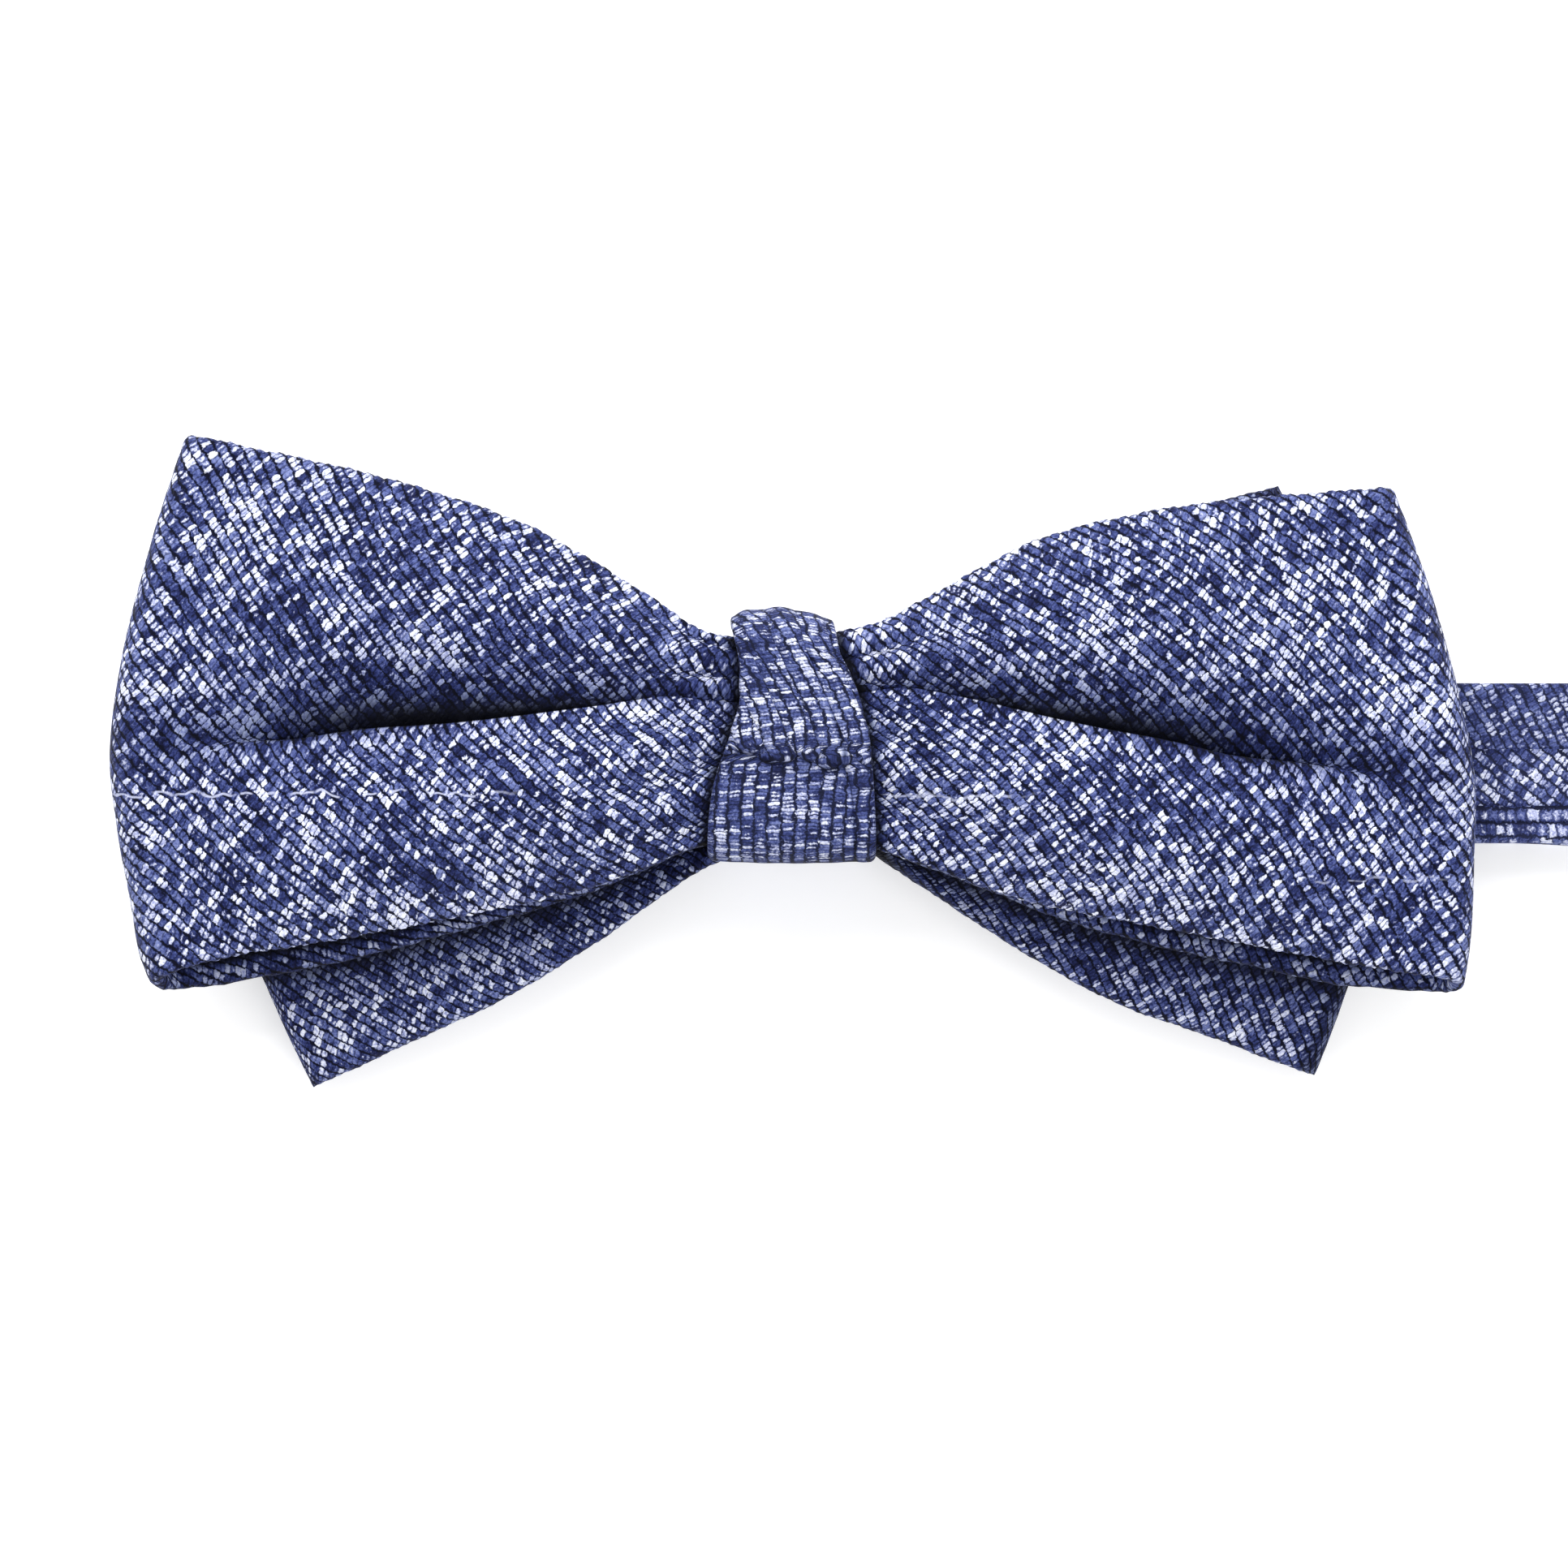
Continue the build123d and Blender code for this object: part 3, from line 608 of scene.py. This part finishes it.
def tailWing(side, places, columnSwell, rows):
    bow = backBow
    shape = {key: curveThrough(value) for key, value in tailShapes[side].items()}
    t = places[None, :]
    run = np.linspace(0, 1, rows)[:, None] + 0 * t
    endAngle = np.radians(rimAngles[::-1])
    rim = bow["thick"] / 2
    tip = shape["tip"](t)
    ends = tip - rim * (1 - np.cos(endAngle))[:, None]
    x = np.concatenate([run * (ends[:1] - 0.4), ends])
    swell = np.concatenate([np.ones(rows), np.maximum(np.sin(endAngle), 0.2)])
    upper = shape["top"](x) + bow["ripple"] * wobble(x, 11.0 + side)
    lower = shape["low"](x) + bow["ripple"] * wobble(x, 15.0 + side)
    y = np.where(t > 0, t * upper, t * lower)
    arched = bow["crown"] - rim - y ** 2 / bow["arch"]
    level = easing(x, 7.5, 16)
    z = bow["waistHeight"] * (1 - level) + arched * level
    gather = np.exp(-np.clip(x - 8, 0, None) / 10) * easing(np.abs(t), 0.05, 0.25)
    z = z + bow["pleat"] * gather * np.sin(t * 17 + side)
    points = np.stack([side * x, y, z], axis=2)
    turned = np.concatenate([np.zeros(rows), rim * (np.pi / 2 - endAngle)])[:, None]
    weave = fanWeave(side, x + turned, y + edgeExtra(places, columnSwell, rim, bow["halfWidth"])[None, :])
    # painted shade: a shadow under the front bow's edge, an even shade over the upper part and shade at the
    # rims; the right tip is also darker along its turned end
    lowerPart = easing(-y, -2, 4)
    frontEdge = curveThrough(wingShapes[side]["lowBack"])(x)
    belowEdge = np.clip(-y - frontEdge, 0, None)  # mm below the front bow
    shade = 0.75 * lowerPart * np.exp(-(belowEdge / 1.7) ** 1.2)
    shade = shade + 0.25 * (1 - lowerPart)
    shade = shade + 0.3 * easing(np.abs(t), 0.96, 1.0)
    if side > 0:
        fold = 1 - easing(tip - x, bow["turnedEnd"] - 0.5, bow["turnedEnd"] + 0.2)
        shade = np.maximum(shade, 0.55 * fold)
    shade = np.clip(shade, 0, 0.9)
    return points, np.repeat(swell[:, None], len(places), axis=1), weave, shade


def makeBackBow(material):
    rim, swell, points, ends, weave, shade = bothWings(backBow, tailWing)
    half = swell[None, :] * ends * rim
    cloth = clothBody("backBowCloth", points, half, weave, [material], shade)
    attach(cloth, "bow")
    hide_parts("back_bow_fabric", "back_bow_interlining")
    print("back bow", len(cloth.data.polygons))


knotShape = dict(
    low=-10.9, high=10.8, back=1.7, front=16.4,  # mm, outer limits in y and z
    backRound=1.7, frontRound=2.8,
    thick=1.2,
    left=[(-10.9, -7.45), (-7.6, -7.35), (-4.4, -6.9), (-0.9, -5.8), (2.1, -4.8), (6, -4.5), (8.4, -4.9),
          (10.9, -5.5)],
    right=[(-10.9, 7.35), (-6, 7.2), (-1.2, 6.8), (1.2, 6.4), (3.7, 5.8), (6, 4.9), (8.4, 4.0),
           (10.9, 3.4)],
    # where the outermost fold starts, from left to right
    edge=[(-10.9, 5.6), (-4, 5.05), (-1.5, 4.3), (3, 2.95), (10.9, 0.6)],
    drop=1.0,             # mm that the top falls to either side
    crease=-1.5,          # mm, where the twisted upper part ends over the lower panel
    lift=0.75,            # mm that the upper part stands over the lower panel
    fold=0.5,             # mm, ridges of the twist
    ends=0.3,             # share of the fullness that shows beyond the top and bottom
    twist=0.42,           # how far the ridges lean
    foldPitch=2.35,       # mm from ridge to ridge
    crown=1.0,            # mm that the middle stands over the sides
    topWave=0.35,         # mm, ripples along the top
    halfWidth=7.0, columns=46, step=0.26,  # mean half width, columns, mm from row to row
    ribs=1.35,            # width of the ribs against the bow's
)


def ringPath(low, high, back, front, backRound, frontRound, step):
    # closed path in y and z from the middle of the back, with round corners, and its outward direction
    corners = [
        (high - backRound, back + backRound, backRound, -90, 0),
        (high - frontRound, front - frontRound, frontRound, 0, 90),
        (low + frontRound, front - frontRound, frontRound, 90, 180),
        (low + backRound, back + backRound, backRound, 180, 270),
    ]
    fine = [((low + high) / 2, back)]
    for y, z, radius, first, last in corners:
        for angle in np.radians(np.linspace(first, last, 12)):
            fine.append((y + radius * math.cos(angle), z + radius * math.sin(angle)))
    fine.append(fine[0])
    fine = np.array(fine)
    run = np.concatenate([[0], np.cumsum(np.linalg.norm(np.diff(fine, axis=0), axis=1))])
    count = int(run[-1] / step)
    spots = np.arange(count) * run[-1] / count
    path = np.stack([np.interp(spots, run, values) for values in fine.T], axis=1)
    way = np.roll(path, -1, 0) - np.roll(path, 1, 0)
    way /= np.linalg.norm(way, axis=1, keepdims=True)
    outward = np.stack([way[:, 1], -way[:, 0]], axis=1)
    return path, outward


def makeKnot(material):
    knot = knotShape
    rim = knot["thick"] / 2
    path, outward = ringPath(
        knot["low"] + rim, knot["high"] - rim, knot["back"] + rim, knot["front"] - rim,
        knot["backRound"] - rim, knot["frontRound"] - rim, knot["step"])
    places, swell = rimSpacing(knot["columns"], rim, knot["halfWidth"])
    t = places[None, :]
    y, z = path[:, :1], path[:, 1:]
    left, right = curveThrough(knot["left"])(y), curveThrough(knot["right"])(y)
    x = left + (right - left) * (t + 1) / 2
    frontShare = easing(z, knot["front"] - 5.0, knot["front"] - 1.6)
    slant = y + 0.10 * x - 0.40 * np.sin(x * 1.3 + 0.5) - 0.18 * np.sin(x * 3.7)
    upperPart = easing(slant, knot["crease"] - 0.35, knot["crease"] + 0.25)
    lean = (x + knot["twist"] * y) / knot["foldPitch"]
    ridges = np.abs(np.sin(math.pi * (lean + 0.15))) ** 0.8
    fromEdge = x - curveThrough(knot["edge"])(y)
    strip = easing(fromEdge, 0.1, 0.6) * (0.45 + 0.45 * easing(y, -4.6, -3.6))
    out = knot["crown"] * (1 - t ** 2) + knot["lift"] * np.maximum(upperPart, strip)
    out = out + knot["fold"] * ridges * upperPart
    topEdge = easing(y, 7.0, 9.6)
    out = out + knot["topWave"] * topEdge * np.cos(t * 7.5 + 0.8)
    sag = 0.25 * np.sin(x * 2.1 + 0.6) * (1 - upperPart)
    out = (out + 0.25 * sag) * frontShare
    fallen = knot["drop"] * (easing(x, -0.5, 4.5) + 0.8 * easing(-x, 3.9, 5.6)) * easing(y, 5.0, 9.6)
    points = np.stack([
        x, y + outward[:, :1] * out * knot["ends"] - fallen, z + outward[:, 1:] * out], axis=2)
    # painted shade: in the crease below the twist, along the outer fold's edge, in the grooves between
    # ridges, a little over the lower panel, at the side rims and where the cloth turns at top and bottom
    creaseLine = np.exp(-((slant - knot["crease"] + 0.28) / 0.34) ** 2) * (0.6 + 0.4 * np.sin(x * 2.3))
    stripLine = np.exp(-(fromEdge / 0.24) ** 2) * (y < 8)
    groove = (1 - ridges) ** 3 * upperPart
    shade = 0.7 * creaseLine * (1 - strip) + 0.65 * stripLine + 0.55 * groove
    shade = shade + 0.16 * (1 - upperPart) + 0.3 * easing(np.abs(t), 0.86, 1.0)
    shade = shade + 0.4 * easing(np.abs(outward[:, :1]), 0.8, 1.0)
    shade = np.clip(shade * frontShare, 0, 0.9)
    half = np.broadcast_to(swell[None, :] * rim, points.shape[:2])

    def weave(surface):
        middle = len(places) // 2
        across = arcAlong(surface, 1)
        across = across - across[:, middle:middle + 1]
        aboveCrease = np.clip(surface[..., 1] - knot["crease"], 0, None)
        tilt = knot["twist"] * aboveCrease * easing(surface[..., 2], 9, 14)
        return np.stack([alongMiddle(surface), across + tilt], axis=2)

    cloth = clothBody("knotCloth", points, half, weave, [material], shade, ring=True)
    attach(cloth, "bow")
    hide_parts("knot_wrap_fabric", "knot_wrap_interlining")
    print("knot", len(cloth.data.polygons))


strap = dict(
    width=14.3, thick=1.3, centre=-2.3,
    seam=1.1,             # mm above the centre line where the pressed edge lies
    border=-3.9,          # mm below the centre line where the ribs run along the strap
    turnX=-45.0, turnGap=1.7, rampX=(12.0, 44.0), plyHeight=4.4, plyStart=50.0,
    bendX=62.0, bendRadius=120.0, bendDegrees=25.0, eyeRun=36.0, flap=10.0,
    barRadius=0.7, play=0.08,
    hookX=140.0, hookHeight=3.8, sliderX=95.0, sliderHeight=3.05, sliderBar=0.6, returnThick=0.9,
    lowGroove=-5.25,      # mm, second line of the border
    columns=38,
    step=1.6,             # mm from one row of points to the next
)
level = (1, 0)            # direction of the strap where it lies along x
roundBar = np.linspace(80, -90, 15)  # degrees, steps of a loop round a bar, from above it to below


def eyePlace():
    # where the eye's bar is, and the direction in which the strap reaches it
    turn = math.radians(strap["bendDegrees"])
    x = strap["bendX"] + strap["bendRadius"] * math.sin(turn) + strap["eyeRun"] * math.cos(turn)
    y = strap["centre"] - strap["bendRadius"] * (1 - math.cos(turn)) - strap["eyeRun"] * math.sin(turn)
    return x, y, math.cos(turn), -math.sin(turn)


def stripCloth(name, stations, materials, bodyName, nodes):
    # A strap through stations: (x, y, z, half thickness, direction x, direction y), in mm.
    stations = np.array(stations, float)
    rim = stations[:, 3].max()
    places, swell = rimSpacing(strap["columns"], rim, strap["width"] / 2)
    reach = places * strap["width"] / 2
    sideways = np.stack([-stations[:, 5], stations[:, 4], 0 * stations[:, 4]], axis=1)
    middle = stations[:, None, :3] + sideways[:, None, :] * reach[None, :, None]
    half = stations[:, 3][:, None] * swell[None, :]
    spots = (reach[:-1] + reach[1:]) / 2
    columnSlot = [int(spot <= strap["seam"]) + int(spot <= strap["border"]) for spot in spots]
    # painted shade: dark lines along the pressed seam and along the border's two pressed lines, on a strap
    # that is flat across
    seamShade = 0.45 * np.exp(-((reach - strap["seam"]) / 0.25) ** 2)
    groove = 0.5 * np.exp(-((reach - strap["border"]) / 0.22) ** 2)
    lowGroove = 0.45 * np.exp(-((reach - strap["lowGroove"]) / 0.2) ** 2)
    shade = np.broadcast_to((seamShade + groove + lowGroove)[None, :], middle.shape[:2])

    def weave(surface):
        return np.stack([alongMiddle(surface), arcAlong(surface, 1)], axis=2)

    cloth = clothBody(name, middle, half, weave, materials, shade, columnSlot=columnSlot)
    if bodyName:
        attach(cloth, bodyName)
    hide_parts(*nodes)
    print(name, len(cloth.data.polygons))
    return cloth


def straight(start, end, step, direction):
    # evenly spaced stations from one (x, y, z, half thickness) to another
    start, end = np.array(start, float), np.array(end, float)
    count = max(2, int(np.linalg.norm((end - start)[:3]) / step) + 1)
    way = np.linspace(0, 1, count)[:, None]
    spots = start + (end - start) * way
    return [tuple(spot) + tuple(direction) for spot in spots]


def onStrap(x, z, half):
    # a place on the strap's straight part, with its half thickness
    return (x, strap["centre"], z, half)


def strapRun(start, end, step):
    # stations between two such places
    return straight(onStrap(*start), onStrap(*end), step, level)


def strapArc(x, z, radius, half, degrees):
    # stations round a fold or a bar, whose middle is at x and z
    return [onStrap(x + radius * math.cos(angle), z + radius * math.sin(angle), half) + level
            for angle in np.radians(degrees)]


def makeNeckband(materials):
    s = strap
    half = s["thick"] / 2
    ex, ey, dx, dy = eyePlace()
    loopZ = s["barRadius"] + s["thick"]
    loopR = (s["barRadius"] + s["play"] + loopZ) / 2
    thin = (loopZ - s["barRadius"] - s["play"]) / 2

    def onEye(u, z, h):
        return (ex + u * dx, ey + u * dy, z, h)

    # the route runs from the sewn flap round the eye's bar, down the strap and back behind the bow
    toEye = (dx, dy)
    flapStart = onEye(-s["flap"], s["thick"] + half, half)
    flapEnd = onEye(-0.8, loopZ + loopR - 0.08, thin)
    stations = straight(flapStart, flapEnd, 0.8, toEye)
    for angle in np.radians(roundBar):
        u, z = loopR * math.cos(angle), loopZ + loopR * math.sin(angle)
        stations.append(onEye(u, z, thin) + toEye)
    stations += straight(onEye(-1.2, half, half), onEye(-s["eyeRun"], half, half), s["step"], toEye)
    pivotY = s["centre"] - s["bendRadius"]
    for angle in np.radians(np.linspace(s["bendDegrees"], 0, 30)[1:]):
        x = s["bendX"] + s["bendRadius"] * math.sin(angle)
        y = pivotY + s["bendRadius"] * math.cos(angle)
        stations.append((x, y, half, half, math.cos(angle), -math.sin(angle)))
    stations += strapRun((s["bendX"] - 1.5, half, half), (s["turnX"], half, half), s["step"])
    centreZ = (s["thick"] + s["turnGap"] + s["thick"]) / 2
    stations += strapArc(s["turnX"], centreZ, centreZ - half, half, np.linspace(-90, -270, 13)[1:])
    upperZ = s["thick"] + s["turnGap"] + half
    endZ = s["plyHeight"] + half
    for x in np.arange(s["turnX"] + s["step"], s["plyStart"] + 0.01, 1.58):
        z = upperZ + (endZ - upperZ) * float(easing(x, *s["rampX"]))
        stations.append(onStrap(x, z, half) + level)
    stations.append(onStrap(s["plyStart"], endZ, half) + level)
    stripCloth(
        "neckbandCloth", stations, materials, "bow",
        ("neckband_fabric", "neckband_eye_strap", "neckband_eye_loop", "neckband_interlining"))


def hookLoop():
    # the strap's loop round the hook's bar: its outer and middle radius and its half thickness
    outer = strap["plyHeight"] + strap["thick"] - strap["hookHeight"]
    hole = strap["barRadius"] + strap["play"]
    return outer, (outer + hole) / 2, (outer - hole) / 2


def makeAdjuster(materials):
    s = strap
    half = s["thick"] / 2
    top = s["plyHeight"] + half
    endX, centreZ = s["hookX"], s["hookHeight"]
    _, loopR, thin = hookLoop()
    stations = strapRun((s["plyStart"], top, half), (endX - 5, top, half), 1.5)
    stations += strapRun((endX - 4, top, half), (endX - 0.4, centreZ + loopR, thin), 1.0)
    stations += strapArc(endX, centreZ, loopR, thin, roundBar)
    cloth = stripCloth(
        "adjusterCloth", stations, materials, None, ("neckband_adjuster_ply", "neckband_hook_loop"))
    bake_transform(cloth)


def makeReturn(materials):
    # the layer that returns from the hook's loop to the slider's bar, and its sewn end
    s = strap
    outer, _, thin = hookLoop()
    half = s["returnThick"] / 2
    low = s["hookHeight"] - outer
    endX, barX, barZ = s["hookX"], s["sliderX"], s["sliderHeight"]
    barHole = s["sliderBar"] + s["play"]
    wrapOuter = barZ - low
    wrapR, wrap = (wrapOuter + barHole) / 2, (wrapOuter - barHole) / 2
    sewnZ = low + s["returnThick"] + wrap
    stations = strapRun((endX, low + thin, thin), (endX - 3, low + half, half), 1.0)
    stations += strapRun((endX - 4, low + half, half), (barX + 5, low + half, half), 1.5)
    stations += strapRun((barX + 4, low + half, half), (barX + 0.6, low + wrap, wrap), 0.8)
    stations += strapArc(barX, barZ, wrapR, wrap, np.linspace(-90, -280, 15))
    stations += strapRun((barX + 1.2, barZ + wrapR - 0.3, wrap), (barX + 3.6, sewnZ + 0.06, wrap), 0.6)
    stations += strapRun((barX + 4.4, sewnZ + 0.04, wrap), (barX + 8, sewnZ + 0.04, wrap), 1.0)
    ply = stripCloth(
        "returnCloth", stations, materials, None, ("neckband_return_ply",))
    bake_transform(ply)


def tube(path, radius, sides=8):
    # vertices and faces of a closed thread along points in mm
    path = np.array(path, float)
    way = np.gradient(path, axis=0)
    way /= np.linalg.norm(way, axis=1, keepdims=True)
    guide = np.array([0.31, 0.27, 0.91])  # any direction that no thread takes
    first = np.cross(way, guide)
    first /= np.linalg.norm(first, axis=1, keepdims=True)
    second = np.cross(way, first)
    angles = np.linspace(0, 2 * math.pi, sides, endpoint=False)
    radii = np.full(len(path), radius)
    radii[0] = radii[-1] = radius * 0.45
    rings = path[:, None] + radii[:, None, None] * (
        np.cos(angles)[None, :, None] * first[:, None] + np.sin(angles)[None, :, None] * second[:, None])
    faces = []
    for i in range(len(path) - 1):
        for k in range(sides):
            n = (k + 1) % sides
            faces.append([i * sides + k, i * sides + n, (i + 1) * sides + n, (i + 1) * sides + k])
    faces.append(list(range(sides))[::-1])
    faces.append([(len(path) - 1) * sides + k for k in range(sides)])
    return rings.reshape(-1, 3), faces


def threadPiece(name, paths, radius, material, bodyName, nodes):
    vertices, faces = [], []
    for path in paths:
        ring, quads = tube(path, radius)
        start = len(vertices)
        vertices += [tuple(v) for v in ring * mm]
        faces += [[start + i for i in quad] for quad in quads]
    mesh = bpy.data.meshes.new(name)
    mesh.from_pydata(vertices, [], faces)
    piece = asPiece(name, mesh, [material])
    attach(piece, bodyName)
    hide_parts(*nodes)


threads = dict(
    radius=0.17,          # mm, sewing thread
    gatherRadius=0.25, gatherTurns=4, gatherPitch=0.65,
    joinCount=6, joinPitch=2.6, seamCount=5, seamPitch=2.3,
    tackCount=11, tackPitch=1.1, length=2.2,
    lean=0.35,            # mm, half the slant of a stitch on the knot and at the eye
    slight=0.3,           # mm, the same on the bow and at the slider
    knotBack=1.68,        # mm, height of the knot's back face
    coilRound=0.9,        # mm, corner rounding of the gather thread
    eyeTack=(1.1, 3.3),   # mm from the flap's end
    sliderTack=4.0,       # mm from the slider's bar
)


def stitch(start, end, out):
    # a thread that dives into the cloth at both ends, bowed outward
    start, end, out = (np.array(v, float) for v in (start, end, out))
    lifts = [(0, -0.25), (0.08, 0.05), (0.3, 0.15), (0.5, 0.18), (0.7, 0.15), (0.92, 0.05), (1, -0.25)]
    return [start + (end - start) * share + out * lift for share, lift in lifts]


def spread(count, pitch):
    # evenly spaced places on both sides of zero
    return [(index - (count - 1) / 2) * pitch for index in range(count)]


def makeThreads(material):
    t = threads
    half, lean, slight, back = t["length"] / 2, t["lean"], t["slight"], t["knotBack"]
    tackPlaces = spread(t["tackCount"], t["tackPitch"])
    lowBow = frontBow["backHeight"] - frontBow["thick"] / 2
    join = [stitch((-half, y - slight, lowBow), (half, y + slight, lowBow), (0, 0, -1))
            for y in spread(t["joinCount"], t["joinPitch"])]
    threadPiece("bowJoinStitches", join, t["radius"], material, "bow", ["front_bow_join_stitches"])
    seam = [stitch((x - lean, -half, back), (x + lean, half, back), (0, 0, -1))
            for x in spread(t["seamCount"], t["seamPitch"])]
    threadPiece("knotSeamStitches", seam, t["radius"], material, "bow", ["knot_seam_stitches"])
    low, high = [[value * 1000 for value in corner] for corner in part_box("gather_thread")]
    r = t["gatherRadius"]
    bend = t["coilRound"]
    path, _ = ringPath(low[1] + r, high[1] - r, low[2] + r, high[2] - r, bend, bend, 0.5)
    coil = []
    for index in range(t["gatherTurns"]):
        for k, (y, z) in enumerate(path):
            x = (index + k / len(path) - t["gatherTurns"] / 2) * t["gatherPitch"]
            coil.append((x, y, z))
    threadPiece("gatherThread", [coil], r, material, "bow", ["gather_thread"])

    ex, ey, dx, dy = eyePlace()
    sideX, sideY = -dy, dx
    s = strap
    loopTop = 2 * s["thick"]
    slope = (2 * (s["barRadius"] + s["thick"]) - loopTop) / s["flap"]
    tack = []
    for place in tackPlaces:
        ends = []
        for fromEnd, side in zip(t["eyeTack"], (place - lean, place + lean)):
            u = -s["flap"] + fromEnd
            z = loopTop + slope * (u + s["flap"]) - 0.02
            ends.append((ex + u * dx + side * sideX, ey + u * dy + side * sideY, z))
        tack.append(stitch(ends[0], ends[1], (0, 0, 1)))
    threadPiece("eyeBarTack", tack, t["radius"], material, "bow", ["eye_bar_tack"])
    low = s["hookHeight"] - hookLoop()[0]
    x = s["sliderX"] + t["sliderTack"]
    tack = [stitch((x - half, y - slight, low), (x + half, y + slight, low), (0, 0, -1))
            for y in (s["centre"] + place for place in tackPlaces)]
    threadPiece("sliderBarTack", tack, t["radius"], material, "slider_body", ["slider_bar_tack"])
    print("threads done")


def finishFittings(material):
    for name in ("slider", "hook", "eye"):
        fitting = bpy.data.objects[name]
        for slot in fitting.material_slots:
            slot.material = material
        if not fitting.material_slots:
            fitting.data.materials.append(material)


studio = dict(
    tableSize=3.0, table=0.92, tableGlow=0.30,  # metres, paleness, light of its own
    key=dict(place=(-0.10, 0.80, 0.75), size=0.9, power=13.0),  # metres, watts
    fill=dict(place=(0.4, -0.5, 0.9), size=1.0, power=4.0),
    world=0.72,
    width=138.16, centre=(-0.72, -4.15), plane=12.0,  # mm, what the camera sees, and at which height
    lens=135.0, sensor=36.0,
)


def makeStudio():
    bpy.ops.mesh.primitive_plane_add(size=studio["tableSize"], location=(0, 0, 0))
    table = bpy.context.object
    table.name = "table"
    finish = Finish("paleTable")
    pale = studio["table"]
    table.data.materials.append(finish.surface(
        Base_Color=(pale, pale, pale, 1), Roughness=0.9, Emission_Color=(1, 1, 1, 1),
        Emission_Strength=studio["tableGlow"]))

    def softBox(name, place, size, power):
        light = bpy.data.lights.new(name, "AREA")
        light.shape = "RECTANGLE"
        light.size = light.size_y = size
        light.energy = power
        lamp = bpy.data.objects.new(name, light)
        bpy.context.collection.objects.link(lamp)
        lamp.location = place
        lamp.rotation_euler = (-Vector(place)).to_track_quat("-Z", "Y").to_euler()

    softBox("keyLight", **studio["key"])
    softBox("fillLight", **studio["fill"])
    world = bpy.data.worlds.new("studioWorld")
    world.use_nodes = True
    world.node_tree.nodes["Background"].inputs[0].default_value = (1, 1, 1, 1)
    world.node_tree.nodes["Background"].inputs[1].default_value = studio["world"]
    bpy.context.scene.world = world
    bpy.context.scene.view_settings.view_transform = "Standard"


def makeCamera():
    camera = bpy.data.cameras.new("camera")
    camera.lens = studio["lens"]
    camera.sensor_width = studio["sensor"]
    away = studio["width"] * studio["lens"] / studio["sensor"]
    holder = bpy.data.objects.new("camera", camera)
    bpy.context.collection.objects.link(holder)
    x, y = studio["centre"]
    holder.location = (x * mm, y * mm, (studio["plane"] + away) * mm)
    camera.clip_start = 0.01
    bpy.context.scene.camera = holder


makeCamera()
makeStudio()
bowCloth = slubCloth("slubClothBow", turn=45.0, seed=3.0, strays=clothLook["strays"])
# the back bow's cloth carries an even painted shade, as it lies under the front bow
tailCloth = slubCloth("slubClothTail", turn=45.0, seed=17.0, shade=0.14, ribs=0.88, picks=0.92)
knotFinish = slubCloth(
    "slubClothKnot", turn=90.0, seed=29.0, ribs=knotShape["ribs"], picks=0.74, pale=-0.05, muted=0.08)
# strap cloths above the seam, below it and along the border: their ribs run differently, and each carries an
# even painted shade, most above the seam
strapFinishes = [
    slubCloth("slubClothStrap", turn=28.0, seed=41.0, shade=0.22, pale=-0.10, muted=0.14),
    slubCloth("slubClothStrapLow", turn=52.0, seed=53.0, shade=0.10, pale=-0.04, muted=0.12),
    slubCloth(
        "slubClothStrapEdge", turn=90.0, seed=67.0, ribs=1.5, picks=2.0, shade=0.08, pale=0.06, muted=0.12),
]
makeFrontBow(bowCloth)
makeBackBow(tailCloth)
makeKnot(knotFinish)
makeNeckband(strapFinishes)
makeAdjuster(strapFinishes)
makeReturn(strapFinishes)
makeThreads(threadFinish())
finishFittings(satinNickel())
